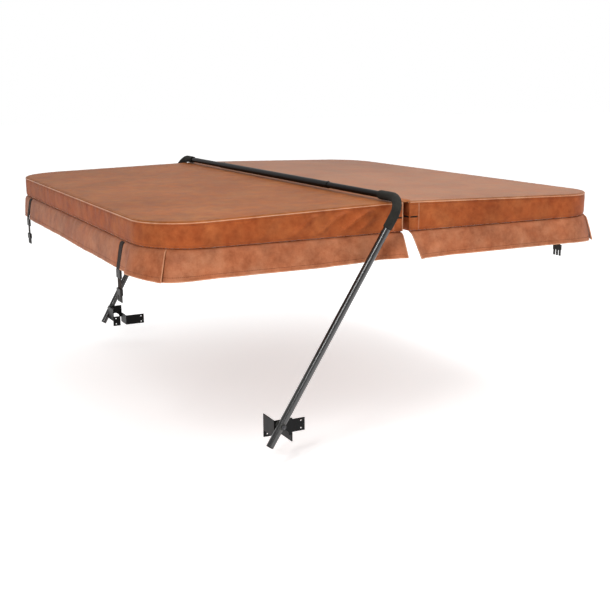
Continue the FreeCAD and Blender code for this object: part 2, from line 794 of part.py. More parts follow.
def bracket():
    """Folded steel bracket: a face that holds the pivot, two webs and two flanges."""
    plate = "sizes.bracket_plate"
    face_left = f"{PIVOT_X} - sizes.face_behind"
    face_right = f"{PIVOT_X} + sizes.face_ahead"
    face_low = f"{PIVOT_Z} - sizes.face_below"
    face_high = f"{PIVOT_Z} + sizes.face_above"
    flange_low = f"{PIVOT_Z} - sizes.flange_sink"
    flange_high = f"{PIVOT_Z} - sizes.flange_sink + sizes.flange_tall"
    wall = "-sizes.wall_out"
    wall_face = f"-sizes.wall_out - {plate}"
    face = f"-{FACE_OUT}"
    plates = [
        block("face", (face_left, face, face_low), (face_right, f"{face} + {plate}", face_high)),
        block("left_web", (face_left, face, face_low), (f"{face_left} + {plate}", wall, face_high)),
        block(
            "right_web",
            (f"{face_right} - {plate}", face, flange_low),
            (face_right, wall, flange_high),
        ),
        block(
            "right_flange",
            (f"{face_right} - {plate}", wall_face, flange_low),
            (f"{face_right} + sizes.flange_wide", wall, flange_high),
        ),
        block(
            "left_flange",
            (face_left, wall_face, flange_low),
            (f"{face_left} + sizes.inner_flange", wall, flange_high),
        ),
    ]
    folded = join("bracket_plates", plates)
    depth = f"{plate} + {2 * OVERCUT}"
    pivot_hole = rod(
        "pivot_hole",
        (PIVOT_X, f"{face} - {OVERCUT}", PIVOT_Z),
        "sizes.bolt_radius + sizes.close_fit",
        depth,
        Y_AXIS,
    )
    arch = rod(
        "arch",
        (f"{PIVOT_X} + sizes.face_ahead/2 - sizes.face_behind/2", f"{face} - {OVERCUT}", face_low),
        "sizes.arch_radius",
        depth,
        Y_AXIS,
    )
    tools = [pivot_hole, arch]
    columns = (
        f"{face_left} + sizes.hole_inset",
        f"{face_right} + sizes.flange_wide - sizes.hole_inset",
    )
    middle = f"{PIVOT_Z} - sizes.flange_sink + sizes.flange_tall/2"
    for column, across in enumerate(columns):
        for level in (-1, 1):
            centre = (across, f"{wall_face} - {OVERCUT}", f"{middle} + {level}*sizes.hole_pitch/2")
            name = f"screw_hole_{column}_{level + 1}"
            tools.append(rod(name, centre, "sizes.hole_radius", depth, Y_AXIS))
    return cut("bracket", folded, join("bracket_holes", tools))


def hexagon(name, centre, radius, tall):
    """A six-sided prism along Y."""
    item = document.addObject("Part::Prism", name)
    item.Polygon = 6
    item.Placement = FreeCAD.Placement(FreeCAD.Vector(), FreeCAD.Rotation(Z_AXIS, Y_AXIS))
    sizes = {"Circumradius": radius, "Height": tall}
    for letter, place in zip("xyz", centre):
        sizes[f"Placement.Base.{letter}"] = place
    return bind(item, sizes)


HEAD_OUT = "(sizes.pivot_out + sizes.arm_radius + sizes.washer_skin + sizes.pivot_play)"


def pivot_bolt():
    """Bolt through the arm and the bracket's face."""
    grip = f"{HEAD_OUT} - {FACE_OUT} + sizes.bracket_plate"
    shank_long = f"{grip} + sizes.nut_tall + sizes.bolt_spare"
    shank = rod("shank", (PIVOT_X, f"-{HEAD_OUT}", PIVOT_Z), "sizes.bolt_radius", shank_long, Y_AXIS)
    head_place = (PIVOT_X, f"-{HEAD_OUT} - sizes.head_tall", PIVOT_Z)
    head = hexagon("head", head_place, "sizes.bolt_head", "sizes.head_tall")
    return join("bolt", [head, shank])


def pivot_nut():
    """Lock nut behind the bracket's face."""
    place = (PIVOT_X, f"-{FACE_OUT} + sizes.bracket_plate", PIVOT_Z)
    blank = hexagon("nut_blank", place, "sizes.bolt_head", "sizes.nut_tall")
    bore_place = (PIVOT_X, f"-{FACE_OUT} + sizes.bracket_plate - {OVERCUT}", PIVOT_Z)
    bore_long = f"sizes.nut_tall + {2 * OVERCUT}"
    bore = rod("nut_bore", bore_place, "sizes.bolt_radius + sizes.close_fit/2", bore_long, Y_AXIS)
    return cut("nut", blank, bore)


def ring(name, start, radius, bore, long):
    """A flat or long ring about the pivot's axis."""
    blank = rod(f"{name}_blank", (PIVOT_X, start, PIVOT_Z), radius, long, Y_AXIS)
    hole_place = (PIVOT_X, f"{start} - {OVERCUT}", PIVOT_Z)
    hole = rod(f"{name}_hole", hole_place, bore, f"{long} + {2 * OVERCUT}", Y_AXIS)
    return cut(name, blank, hole)


def pivot_washers():
    """Thick spacer against the bracket and thin washer under the bolt's head."""
    bore = "sizes.bolt_radius + sizes.close_fit"
    arm_face = "(sizes.pivot_out - sizes.arm_radius)"
    spacer_long = f"{arm_face} - {FACE_OUT} - sizes.pivot_play"
    spacer = ring("spacer", f"-{FACE_OUT} - ({spacer_long})", "sizes.washer_radius", bore, spacer_long)
    thin = ring("thin_washer", f"-{HEAD_OUT}", "sizes.washer_radius", bore, "sizes.washer_skin")
    return gather("washers", [spacer, thin])


def pivot_bush():
    """Nylon bush through the arm, which turns on the bolt."""
    start = "-sizes.pivot_out - sizes.arm_radius"
    outer = "sizes.bolt_radius + sizes.bush_wall"
    return ring("bush", start, outer, "sizes.bolt_radius + sizes.close_fit/2", "2*sizes.arm_radius")


# --- the whole cover ------------------------------------------------------------------------------


def add_pair(name, source):
    """Keeps a rear piece and its mirror image on the front half."""
    keep(f"rear_{name}", source)
    keep(f"front_{name}", mirror(f"front_{name}", source, X_AXIS))


def add_sides(name, source):
    """Keeps a near piece and its mirror image on the far side."""
    keep(f"near_{name}", source)
    keep(f"far_{name}", mirror(f"far_{name}", source, Y_AXIS))


def add_four(name, source):
    """Keeps a rear near piece and its three mirror images."""
    keep(f"rear_near_{name}", source)
    far = keep(f"rear_far_{name}", mirror(f"rear_far_{name}", source, Y_AXIS))
    keep(f"front_near_{name}", mirror(f"front_near_{name}", source, X_AXIS))
    keep(f"front_far_{name}", mirror(f"front_far_{name}", far, X_AXIS))


def hinge_strip():
    """Strip of vinyl that joins the tops of the two halves."""
    edge = f"({HINGE_FACE} - sizes.clearance)"
    return block(
        "hinge_vinyl",
        (f"-{edge}", f"-({HALF_WIDE})", "sizes.ridge_height - sizes.skin"),
        (edge, HALF_WIDE, "sizes.ridge_height"),
    )


def build():
    add_pair("foam_core", foam_core())
    add_pair("hinge_channel", hinge_channel())
    add_pair("top_panel", top_panel())
    add_pair("side_band", side_band())
    add_pair("underside_panel", underside_panel())
    add_pair("zipper", zipper())
    add_pair("zipper_slider", zipper_slider())
    add_pair("end_skirt", end_skirt())
    add_four("corner_skirt", corner_skirt())
    add_four("skirt", side_skirt())
    keep("hinge_strip", hinge_strip())
    add_four("strap", strap_webbing())
    add_four("strap_adjuster", strap_adjuster())
    add_four("strap_buckle", strap_buckle())
    add_sides("lower_arm", lower_arm())
    add_sides("elbow_tube", elbow_tube())
    add_sides("foam_sleeve", foam_sleeve())
    add_sides("arm_cap", arm_cap())
    add_sides("pivot_bush", pivot_bush())
    keep("crossbar", crossbar())
    keep("lock_screws", lock_screws())
    add_sides("bracket", bracket())
    add_sides("pivot_bolt", pivot_bolt())
    add_sides("pivot_nut", pivot_nut())
    add_sides("pivot_washers", pivot_washers())


def check():
    """Stops on a feature that failed or a sub-part without a sound solid."""
    for item in document.Objects:
        if "Invalid" in item.State or "Error" in item.State:
            raise RuntimeError(f"{item.Label} failed: {item.State}")
    for item in kept:
        if item.Shape.isNull() or not item.Shape.isValid() or not item.Shape.Solids:
            raise RuntimeError(f"{item.Label} has no sound solid")


def write():
    os.makedirs("parts", exist_ok=True)
    for item in kept:
        item.Shape.exportStep(os.path.join("parts", f"{item.Label}.step"))


build()
document.recompute()
check()
write()
print(f"wrote {len(kept)} sub-parts")
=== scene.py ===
import bpy
import json
import math
from itertools import product
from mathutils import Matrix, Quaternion, Vector, noise


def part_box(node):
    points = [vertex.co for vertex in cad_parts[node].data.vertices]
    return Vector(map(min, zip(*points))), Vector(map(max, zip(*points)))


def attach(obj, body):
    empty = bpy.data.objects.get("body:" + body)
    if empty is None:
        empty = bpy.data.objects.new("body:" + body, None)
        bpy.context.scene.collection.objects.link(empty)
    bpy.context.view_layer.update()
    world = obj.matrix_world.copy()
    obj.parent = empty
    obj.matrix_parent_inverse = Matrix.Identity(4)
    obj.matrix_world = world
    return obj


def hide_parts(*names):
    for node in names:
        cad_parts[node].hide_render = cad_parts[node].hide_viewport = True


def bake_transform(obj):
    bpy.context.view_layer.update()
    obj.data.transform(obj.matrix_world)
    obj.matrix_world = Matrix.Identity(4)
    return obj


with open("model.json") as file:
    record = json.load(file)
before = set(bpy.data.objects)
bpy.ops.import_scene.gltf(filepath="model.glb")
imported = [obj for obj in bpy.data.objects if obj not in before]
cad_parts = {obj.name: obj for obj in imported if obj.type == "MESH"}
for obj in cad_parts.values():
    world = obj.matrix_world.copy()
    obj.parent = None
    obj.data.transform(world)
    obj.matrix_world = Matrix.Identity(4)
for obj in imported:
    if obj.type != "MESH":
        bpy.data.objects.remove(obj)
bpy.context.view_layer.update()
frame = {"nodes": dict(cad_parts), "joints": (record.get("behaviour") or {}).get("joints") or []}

# Two-piece hot tub cover with its swing-over lifter. Lengths are metres in the frame's axes: X from
# the rear half to the front half, Y along the hinge with the near side at -Y, Z up from the rim.

# --- sizes ---

PANEL_LOW, PANEL_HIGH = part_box("front_top_panel")
HINGE_FACE = PANEL_LOW.x
HALF_LONG = PANEL_HIGH.x
HALF_WIDE = PANEL_HIGH.y
RIDGE = PANEL_HIGH.z
SKIN = 0.002
END_HEIGHT = PANEL_LOW.z + SKIN
CORNER_ROUND = 0.220
HINGE_ROUND = 0.006

EDGE_ROUND = 0.0040
VINYL = 0.0012
TOP_PITCH = 0.011
UNDERSIDE_PITCH = 0.030
BEAD = 0.0021
BEAD_SIDES = 8
SEAM_GROOVE = 0.0016
BAND_ROLL = 0.007
BAND_TOP_GAP = 0.0068
BAND_CROWN = 0.0014

ZIP_LOW, ZIP_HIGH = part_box("front_zipper")
ZIP_RISE = (ZIP_LOW.z + ZIP_HIGH.z) / 2
ZIP_WRAP = 0.042
ZIP_SLOT = 0.0030
ZIP_LIP = 0.0090
ZIP_PROUD = 0.0014
ZIP_SEAM_HALF = 0.0032
ZIP_SEAM_TALL = 0.0015
ZIP_TAPE_HALF = 0.0052
TOOTH_PITCH = 0.0017
TOOTH_STAGGER = 0.0009
TOOTH_HALF = (0.0007, 0.0017, 0.0007)

SKIRT_HEM = -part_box("rear_end_skirt")[0].z
SKIRT_FLARE = -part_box("rear_end_skirt")[0].x - HALF_LONG
SKIRT_SEAM_INSET = 0.0085
SKIRT_SHOULDER = 0.0150
SKIRT_SPREAD = SKIRT_FLARE - SKIRT_SHOULDER + SKIRT_SEAM_INSET
SKIRT_SKIN = 0.0022
SKIRT_END_GAP = 0.018
HEM_TALL = 0.013
EDGING = 0.0023
CORNER_FLAP_SWEEP = math.radians(49.5)
SIDE_FLAP_SWEEP = math.radians(49)
FLAP_TUCK = 0.0195
CORNER_TUCK = 0.028
FLAP_SINK = 0.0030
CORNER_PEAK = math.radians(49)

STRAP_PLACE = 0.760
STRAP_WIDE = 0.038
STRAP_SLOT = 0.042
STRAP_PLY = 0.0012
STRAP_START = 0.0036
STRAP_END = -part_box("rear_near_strap")[0].z

BAR_LOW, BAR_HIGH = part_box("crossbar")
BAR_AXIS = Vector(((BAR_LOW.x + BAR_HIGH.x) / 2, 0, (BAR_LOW.z + BAR_HIGH.z) / 2))
PIVOT = Vector(next(j["pos_m"] for j in frame["joints"] if j["name"] == "lifter_swing"))
PIVOT_OUT = 1.093
ELBOW_OUT = 1.146
BEND_RADIUS = 0.070
SLEEVE_RADIUS = 0.018
SLEEVE_DROP = 0.122
SLEEVE_INNER = 0.988
SLEEVE_SIDES = 40
TUBE_RADIUS = 0.0127

STITCH_PITCH = 0.0065
STITCH_LONG = 0.0046
STITCH_ROUND = 0.00055
STITCH_LIFT = 0.0002
UPPER_STITCH_DROP = 0.0135
LOWER_STITCH_RISE = 0.0105
TOP_STITCH_INSET = 0.010

HALVES = {"rear": -1, "front": 1}
SIDES = {"near": -1, "far": 1}


# --- small helpers ---


def smooth(value, start, end):
    """0 before start, 1 after end, and an easy curve between them."""
    share = min(max((value - start) / (end - start), 0.0), 1.0)
    return share * share * (3 - 2 * share)


def plateau(value, start, full, wane, end):
    """0 outside start and end, 1 from full to wane, and easy curves between them."""
    return smooth(value, start, full) * (1 - smooth(value, wane, end))


def ripple(x, y, z, size, seed=0.0):
    """Smooth noise from about -1 to 1 with features of the given size."""
    return noise.noise(Vector((x / size + seed, y / size - seed, z / size + 0.37 * seed)))


def steps(start, end, pitch):
    """Even steps from start to end, no longer than pitch, both ends included."""
    count = max(1, math.ceil(abs(end - start) / pitch))
    return [start + (end - start) * i / count for i in range(count + 1)]


def roof(x):
    """Height of the sloping top at a place along X."""
    share = (abs(x) - HINGE_FACE) / (HALF_LONG - HINGE_FACE)
    return RIDGE - (RIDGE - END_HEIGHT) * share


def new_piece(name, points, faces, smooth_angle=40):
    """A mesh object from points and faces, shaded smooth below an angle."""
    mesh = bpy.data.meshes.new(name)
    mesh.from_pydata([tuple(p) for p in points], [], faces)
    mesh.validate()
    piece = bpy.data.objects.new(name, mesh)
    bpy.context.scene.collection.objects.link(piece)
    for polygon in mesh.polygons:
        polygon.use_smooth = True
    mesh.set_sharp_from_angle(angle=math.radians(smooth_angle))
    return piece


def grid_faces(rows, columns, first=0, wrap=False, loop=False):
    """Faces of a grid of points. wrap joins its last column to its first, and loop its last row."""
    faces = []
    for i in range(rows if loop else rows - 1):
        here, below = first + i * columns, first + (i + 1) % rows * columns
        for j in range(columns if wrap else columns - 1):
            k = (j + 1) % columns
            faces.append((here + j, here + k, below + k, below + j))
    return faces


def grid_border(rows, columns):
    """Indices of the points round a grid's border, first along its first row."""
    last = (rows - 1) * columns
    border = list(range(columns))
    border += [i * columns + columns - 1 for i in range(1, rows)]
    border += [last + j for j in range(columns - 2, -1, -1)]
    return border + [i * columns for i in range(rows - 2, 0, -1)]


def grid_normals(grid, wrap=False):
    """Unit normals of a grid of points."""
    rows, columns = len(grid), len(grid[0])
    normals = []
    for i in range(rows):
        line = []
        for j in range(columns):
            left = grid[i][(j - 1) % columns] if wrap or j else grid[i][j]
            right = grid[i][(j + 1) % columns] if wrap or j < columns - 1 else grid[i][j]
            above = grid[max(i - 1, 0)][j]
            below = grid[min(i + 1, rows - 1)][j]
            normal = (right - left).cross(below - above)
            line.append(normal.normalized() if normal.length > 1e-12 else Vector((0, 0, 1)))
        normals.append(line)
    return normals


def shell(name, grid, thickness, wrap=False):
    """A closed sheet, with the grid as its outer face and the other face thickness(i, j) inside it.

    Seen from outside, rows run down and columns run to the right."""
    normals = grid_normals(grid, wrap)
    rows, columns = len(grid), len(grid[0])
    outer = [point for line in grid for point in line]
    inner = []
    for i in range(rows):
        for j in range(columns):
            inner.append(grid[i][j] + normals[i][j] * thickness(i, j))
    half = rows * columns
    faces = [tuple(reversed(face)) for face in grid_faces(rows, columns, 0, wrap)]
    faces += grid_faces(rows, columns, half, wrap)
    loops = [grid_border(rows, columns)]
    if wrap:
        loops = [list(range(columns)), list(reversed(range(half - columns, half)))]
    for loop in loops:
        for a, b in zip(loop, loop[1:] + loop[:1]):
            faces.append((a, b, half + b, half + a))
    return new_piece(name, outer + inner, faces)


def join_pieces(name, pieces):
    """One object from several."""
    for item in bpy.context.selected_objects:
        item.select_set(False)
    for piece in pieces:
        piece.select_set(True)
    bpy.context.view_layer.objects.active = pieces[0]
    bpy.ops.object.join()
    pieces[0].name = name
    pieces[0].select_set(False)
    return pieces[0]


def ring(place, across, other, radius, around):
    """Points round a place. radius is a function of the angle."""
    angles = [2 * math.pi * k / around for k in range(around)]
    return [place + (across * math.cos(a) + other * math.sin(a)) * radius(a) for a in angles]


def sections(path):
    """For each place of a path, the place, the way ahead and two directions square to it."""
    side = None
    found = []
    for i, place in enumerate(path):
        ahead = (path[min(i + 1, len(path) - 1)] - path[max(i - 1, 0)]).normalized()
        if side is None:
            side = ahead.orthogonal().normalized()
        side = (side - ahead * side.dot(ahead)).normalized()
        found.append((place, ahead, side, ahead.cross(side)))
    return found


def tube(name, path, radius, around):
    """A round tube with closed ends along a path."""
    points = []
    for place, _, side, other in sections(path):
        points += ring(place, side, other, lambda angle: radius, around)
    faces = grid_faces(len(path), around, wrap=True)
    faces.append(tuple(reversed(range(around))))
    faces.append(tuple(range(len(points) - around, len(points))))
    return new_piece(name, points, faces, 50)


def walk(line, pitch, first):
    """Places at an even pitch along a line of (point, normal) pairs, as (point, way ahead, normal)."""
    travelled, due = 0.0, first
    for (start, normal), (end, _) in zip(line, line[1:]):
        run = (end - start).length
        ahead = (end - start).normalized()
        while run > 1e-9 and due <= travelled + run:
            yield start + ahead * (due - travelled), ahead, normal
            due += pitch
        travelled += run


def stitches(name, line):
    """Thread stitches along a line of (point, outward normal) pairs."""
    points, faces = [], []
    for middle, ahead, normal in walk(line, STITCH_PITCH, STITCH_PITCH / 2):
        across = normal.cross(ahead).normalized()
        reach = ahead * STITCH_LONG
        first = len(points)
        for share in (-0.32, 0.32):
            points += ring(middle + reach * share, across, normal, lambda angle: STITCH_ROUND, 4)
        for share in (-0.5, 0.5):
            points.append(middle + reach * share - normal * STITCH_ROUND)
        for turn in range(4):
            after = (turn + 1) % 4
            faces.append((first + turn, first + after, first + 4 + after, first + 4 + turn))
            faces.append((first + after, first + turn, first + 8))
            faces.append((first + 4 + turn, first + 4 + after, first + 9))
    return new_piece(name, points, faces, 80)


def coat(piece, material):
    """Gives a piece its material."""
    piece.data.materials.clear()
    piece.data.materials.append(MATERIALS[material])


def finish_piece(piece, material, body, stands_for=None):
    """Gives a piece its material and its body, and hides the node that it stands for."""
    coat(piece, material)
    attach(piece, body)
    if stands_for:
        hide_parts(stands_for)


# --- materials ---

WHITE = (1, 1, 1, 1)

# A mix node's colour sockets share their names with its other sockets, so they go by number.
MIX_FIRST, MIX_SECOND, MIX_RESULT = 6, 7, 2


def srgb(red, green, blue):
    """A linear colour from 8-bit sRGB numbers."""
    linear = []
    for value in (red, green, blue):
        share = value / 255
        linear.append(share / 12.92 if share <= 0.04045 else ((share + 0.055) / 1.055) ** 2.4)
    return (*linear, 1.0)


def dim(colour, share):
    """A darker version of a linear colour."""
    return tuple(share * value for value in colour[:3]) + (1,)


def fill(tree, socket, value):
    """Gives a socket its value, or links it where the value is another node's output."""
    if isinstance(value, bpy.types.NodeSocket):
        tree.links.new(value, socket)
    else:
        socket.default_value = value


def add_node(tree, kind, inputs, **settings):
    """A shader node with its settings and its inputs."""
    node = tree.nodes.new("ShaderNode" + kind)
    for name, value in settings.items():
        setattr(node, name, value)
    for name, value in inputs.items():
        fill(tree, node.inputs[name], value)
    return node


class Surface:
    """A material with a Principled shader, whose textures follow the piece's own coordinates."""

    def __init__(self, name, **sockets):
        self.material = bpy.data.materials.new(name)
        self.material.use_nodes = True
        self.tree = self.material.node_tree
        self.set(**sockets)

    def set(self, **sockets):
        """Values or textures for the shader's own sockets."""
        shader = self.tree.nodes["Principled BSDF"]
        for socket, value in sockets.items():
            fill(self.tree, shader.inputs[socket.replace("_", " ")], value)

    def texture(self, kind, inputs, **settings):
        place = add_node(self.tree, "TexCoord", {})
        inputs = {"Vector": place.outputs["Object"], **inputs}
        return add_node(self.tree, "Tex" + kind, inputs, **settings).outputs

    def noise(self, scale, detail=4.0, roughness=0.55, output="Fac"):
        inputs = {"Scale": scale, "Detail": detail, "Roughness": roughness}
        return self.texture("Noise", inputs)[output]

    def cells(self, scale, feature="F1", **inputs):
        """Distance to the middle of the nearest of many small cells."""
        return self.texture("Voronoi", {"Scale": scale, **inputs}, feature=feature)["Distance"]

    def ramp(self, factor, low, high, first, second):
        """A colour that goes from first to second as a factor goes from low to high."""
        node = add_node(self.tree, "ValToRGB", {"Fac": factor})
        start, end = node.color_ramp.elements
        start.position, start.color = low, first
        end.position, end.color = high, second
        return node.outputs["Color"]

    def multiply(self, first, second, share):
        """Two colours multiplied, with the second one's effect scaled by share."""
        inputs = {"Factor": share, MIX_FIRST: first, MIX_SECOND: second}
        node = add_node(self.tree, "Mix", inputs, data_type="RGBA", blend_type="MULTIPLY")
        return node.outputs[MIX_RESULT]

    def bump(self, *layers):
        """Bump layers, each (height, strength, distance), one on top of the other."""
        below = {}
        for height, strength, distance in layers:
            inputs = {"Height": height, "Strength": strength, "Distance": distance, **below}
            below = {"Normal": add_node(self.tree, "Bump", inputs).outputs["Normal"]}
        self.set(**below)

    def rough(self, source, low, high):
        """Roughness that follows a texture."""
        spread = add_node(self.tree, "MapRange", {"Value": source, "To Min": low, "To Max": high})
        self.set(Roughness=spread.outputs["Result"])


def vinyl(name, dark, light, gloss=0.50, sheen=0.32):
    """Marbled marine vinyl with an embossed leather grain."""
    skin = Surface(name, Specular_IOR_Level=sheen)
    cloud = skin.noise(19.0, 6.0, 0.66)
    tone = skin.ramp(cloud, 0.28, 0.72, dark, light)
    shade = skin.ramp(skin.noise(3.4, 3.0, 0.5), 0.32, 0.70, (0.74, 0.70, 0.68, 1), WHITE)
    tint = skin.ramp(skin.noise(8.5, 4.0, 0.6), 0.38, 0.64, (1.0, 0.86, 0.74, 1), (0.96, 1, 1, 1))
    dots = skin.ramp(skin.noise(240.0, 3.0, 0.6), 0.35, 0.65, (0.86, 0.82, 0.80, 1), WHITE)
    for layer, share in ((shade, 0.8), (tint, 0.9), (dots, 0.55)):
        tone = skin.multiply(tone, layer, share)
    skin.set(Base_Color=tone)
    grain = skin.cells(620.0, "SMOOTH_F1", Randomness=1.0, Smoothness=0.4)
    skin.bump((skin.noise(95.0, 5.0, 0.6), 0.10, 0.002), (grain, 0.32, 0.0006))
    skin.rough(cloud, gloss - 0.07, gloss + 0.10)
    return skin.material


def thread(name, colour):
    """Twisted sewing thread."""
    skin = Surface(name, Roughness=0.75, Specular_IOR_Level=0.3)
    twist = skin.noise(900.0, 2.0)
    skin.set(Base_Color=skin.ramp(twist, 0.35, 0.65, dim(colour, 0.6), colour))
    skin.bump((twist, 0.4, 0.0003))
    return skin.material


def webbing(name, dark, light, across, along):
    """Woven strap: ribs across it and yarns along it, in the axes given."""
    skin = Surface(name, Roughness=0.82, Specular_IOR_Level=0.25)
    ribs = skin.texture("Wave", {"Scale": 115.0, "Distortion": 0.4}, bands_direction=along)
    yarns = skin.texture("Wave", {"Scale": 170.0, "Distortion": 0.6}, bands_direction=across)
    weave = skin.multiply(ribs["Color"], yarns["Color"], 0.7)
    tone = skin.ramp(weave, 0.0, 1.0, dark, light)
    skin.set(Base_Color=skin.multiply(tone, skin.noise(700.0, 3.0, output="Color"), 0.35))
    skin.bump((ribs["Fac"], 0.5, 0.0006), (yarns["Fac"], 0.35, 0.0004))
    return skin.material


def powder_coat(name, colour, roughness, peel=0.12, gloss=0.15):
    """Painted steel with a fine orange peel and slightly worn tone."""
    skin = Surface(name, Specular_IOR_Level=gloss)
    worn = skin.noise(24.0, 6.0, 0.65)
    skin.set(Base_Color=skin.ramp(worn, 0.35, 0.70, dim(colour, 0.72), colour))
    skin.bump((skin.noise(420.0, 2.0), peel, 0.0004))
    skin.rough(worn, roughness - 0.05, roughness + 0.08)
    return skin.material


def foam_rubber(name, dark, light):
    """Closed-cell foam with fine pores and a dusty bloom."""
    skin = Surface(name, Specular_IOR_Level=0.25)
    bloom = skin.noise(38.0, 6.0, 0.7)
    skin.set(Base_Color=skin.ramp(bloom, 0.35, 0.70, dark, light))
    skin.bump((bloom, 0.12, 0.002), (skin.cells(480.0), 0.5, 0.0006))
    skin.rough(bloom, 0.78, 0.95)
    return skin.material


def moulded_plastic(name, colour, roughness=0.42):
    """Injection-moulded plastic with a spark-eroded texture."""
    skin = Surface(name, Specular_IOR_Level=0.22)
    scuff = skin.noise(60.0, 5.0, 0.7)
    light = tuple(min(1.0, 1.5 * value + 0.004) for value in colour[:3]) + (1,)
    skin.set(Base_Color=skin.ramp(scuff, 0.40, 0.75, colour, light))
    skin.bump((skin.noise(900.0, 2.0), 0.25, 0.0003))
    skin.rough(scuff, roughness - 0.06, roughness + 0.10)
    return skin.material


def bare_metal(name, dark, light, roughness):
    """Plated or galvanised metal with a mottled tone."""
    skin = Surface(name, Metallic=1.0)
    spangle = skin.cells(90.0)
    skin.set(Base_Color=skin.ramp(skin.noise(70.0, 5.0, 0.7), 0.35, 0.70, dark, light))
    skin.bump((spangle, 0.08, 0.0004))
    skin.rough(spangle, roughness, roughness + 0.15)
    return skin.material


def foam_board(name, light, dark):
    """Expanded polystyrene beads."""
    skin = Surface(name, Specular_IOR_Level=0.3, Roughness=0.9)
    beads = skin.cells(260.0)
    skin.set(Base_Color=skin.ramp(beads, 0.1, 0.7, light, dark))
    skin.bump((beads, 0.5, 0.001))
    return skin.material


# Each material's maker, its colours, and the maker's other figures.
RECIPES = {
    "top_vinyl": (vinyl, srgb(126, 74, 40), srgb(160, 101, 58), 0.46, 0.03),
    # The front half's top: a paler, greyer copy of the top vinyl with more sheen, whose colour is a
    # painted sheen.
    "paler_top_vinyl": (vinyl, srgb(128, 82, 52), srgb(158, 107, 73), 0.46, 0.11),
    "side_vinyl": (vinyl, srgb(130, 64, 33), srgb(170, 96, 54), 0.50, 0.06),
    "skirt_vinyl": (vinyl, srgb(136, 79, 52), srgb(181, 119, 87), 0.48, 0.08),
    "underside_vinyl": (vinyl, srgb(92, 50, 28), srgb(124, 76, 46), 0.6),
    # Pale vinyl whose colour is a painted highlight: it draws the light lines along the seam bead, the
    # rear hinge welts and the flaps' turned hems.
    "bead_vinyl": (vinyl, srgb(172, 112, 76), srgb(208, 156, 122), 0.42),
    "brown_thread": (thread, srgb(104, 54, 30)),
    "bead_foam": (foam_board, srgb(244, 244, 240), srgb(205, 205, 198)),
    "galvanised": (bare_metal, srgb(150, 155, 158), srgb(190, 195, 198), 0.35),
    "zipper_tape": (webbing, srgb(38, 22, 15), srgb(66, 42, 30), "X", "Z"),
    "zipper_teeth": (moulded_plastic, srgb(44, 27, 19)),
    "zipper_brass": (bare_metal, srgb(120, 88, 42), srgb(176, 140, 78), 0.30),
    "strap_webbing": (webbing, srgb(24, 15, 11), srgb(62, 41, 29), "Y", "Z"),
    "buckle_plastic": (moulded_plastic, srgb(24, 20, 18)),
    "coated_tube": (powder_coat, srgb(9, 8, 8), 0.24, 0.012, 0.95),
    "rubbed_tube": (powder_coat, srgb(13, 9, 8), 0.36, 0.12, 0.06),
    "sleeve_foam": (foam_rubber, srgb(20, 19, 16), srgb(38, 37, 32)),
    "cap_plastic": (moulded_plastic, srgb(22, 22, 22), 0.5),
    "bush_nylon": (moulded_plastic, srgb(58, 58, 56), 0.5),
    "bracket_steel": (powder_coat, srgb(15, 15, 16), 0.38, 0.2),
    "black_zinc": (bare_metal, srgb(52, 52, 54), srgb(92, 92, 94), 0.32),
}
MATERIALS = {name: make(name, *details) for name, (make, *details) in RECIPES.items()}


# --- outline of a half ---


def corner_place(centre, radius, degrees):
    """A (point, outward normal) pair on a rounded corner."""
    angle = math.radians(degrees)
    normal = Vector((math.cos(angle), math.sin(angle)))
    return centre + normal * radius, normal


def outline(sign, inset=0.0, pitch=0.008):
    """The rounded plan of a half as (point, outward normal) pairs, anticlockwise on the front half.

    It starts at the near end of the hinge face and is mirrored for the rear half."""
    left, right = HINGE_FACE + inset, HALF_LONG - inset
    side = HALF_WIDE - inset
    small, large = max(HINGE_ROUND - inset, 0.0004), CORNER_ROUND - inset
    corners = [
        (Vector((left + small, -side + small)), small, 180),
        (Vector((right - large, -side + large)), large, 270),
        (Vector((right - large, side - large)), large, 0),
        (Vector((left + small, side - small)), small, 90),
    ]
    places = []
    for number, (centre, radius, start) in enumerate(corners):
        for turn in steps(0, 90, 30 if radius == small else 2.5):
            places.append(corner_place(centre, radius, start + turn))
        finish, normal = corner_place(*corners[(number + 1) % len(corners)])
        begin = places[-1][0]
        count = max(1, math.ceil((finish - begin).length / pitch))
        for i in range(1, count):
            places.append((begin.lerp(finish, i / count), normal))
    mirrored = [(Vector((sign * p.x, p.y)), Vector((sign * n.x, n.y))) for p, n in places]
    return mirrored if sign > 0 else list(reversed(mirrored))


def off_edge(place, normal, z, out):
    """The point at a height and a distance out of a place on the outline."""
    return Vector((place.x, place.y, z)) + normal.to_3d() * out


def near_bar(x):
    """1 where the crossbar and its elbows pass, also once the front half is folded, and 0 elsewhere."""
    return 1 - smooth(abs(abs(x) - abs(BAR_AXIS.x)), 0.05, 0.16)


# Where a fold meets the underside, how far it leans over the band's height, its height and width.
DRAG_FOLDS = (
    (0.235, 0.190, 0.0110, 0.020),
    (0.310, 0.190, 0.0135, 0.023),
    (0.400, 0.180, 0.0125, 0.026),
    (0.500, 0.160, 0.0115, 0.026),
    (0.610, 0.120, 0.0085, 0.030),
)


def drag(x, y, z, sign):
    """Diagonal folds on the long sides, pulled up towards the hinge."""
    if abs(y) < HALF_WIDE - 0.03:
        return 0.0
    seed = 3.1 if y < 0 else 8.6
    total = 0.0
    for number, (foot, run, tall, wide) in enumerate(DRAG_FOLDS):
        foot += 0.02 * ripple(number, seed, sign, 0.7)
        bend = 0.02 * math.sin(math.pi * min(max(z / RIDGE, 0.0), 1.0))
        centre = foot - run * z / RIDGE + bend
        away = (abs(x) - centre) / wide
        shape = math.exp(-(away**2)) if away < 0 else math.exp(-((2.2 * away) ** 2))
        total += tall * shape * plateau(z, 0.006, 0.03, 0.080, 0.104)
    return total * (1.0 if sign < 0 else 0.35)


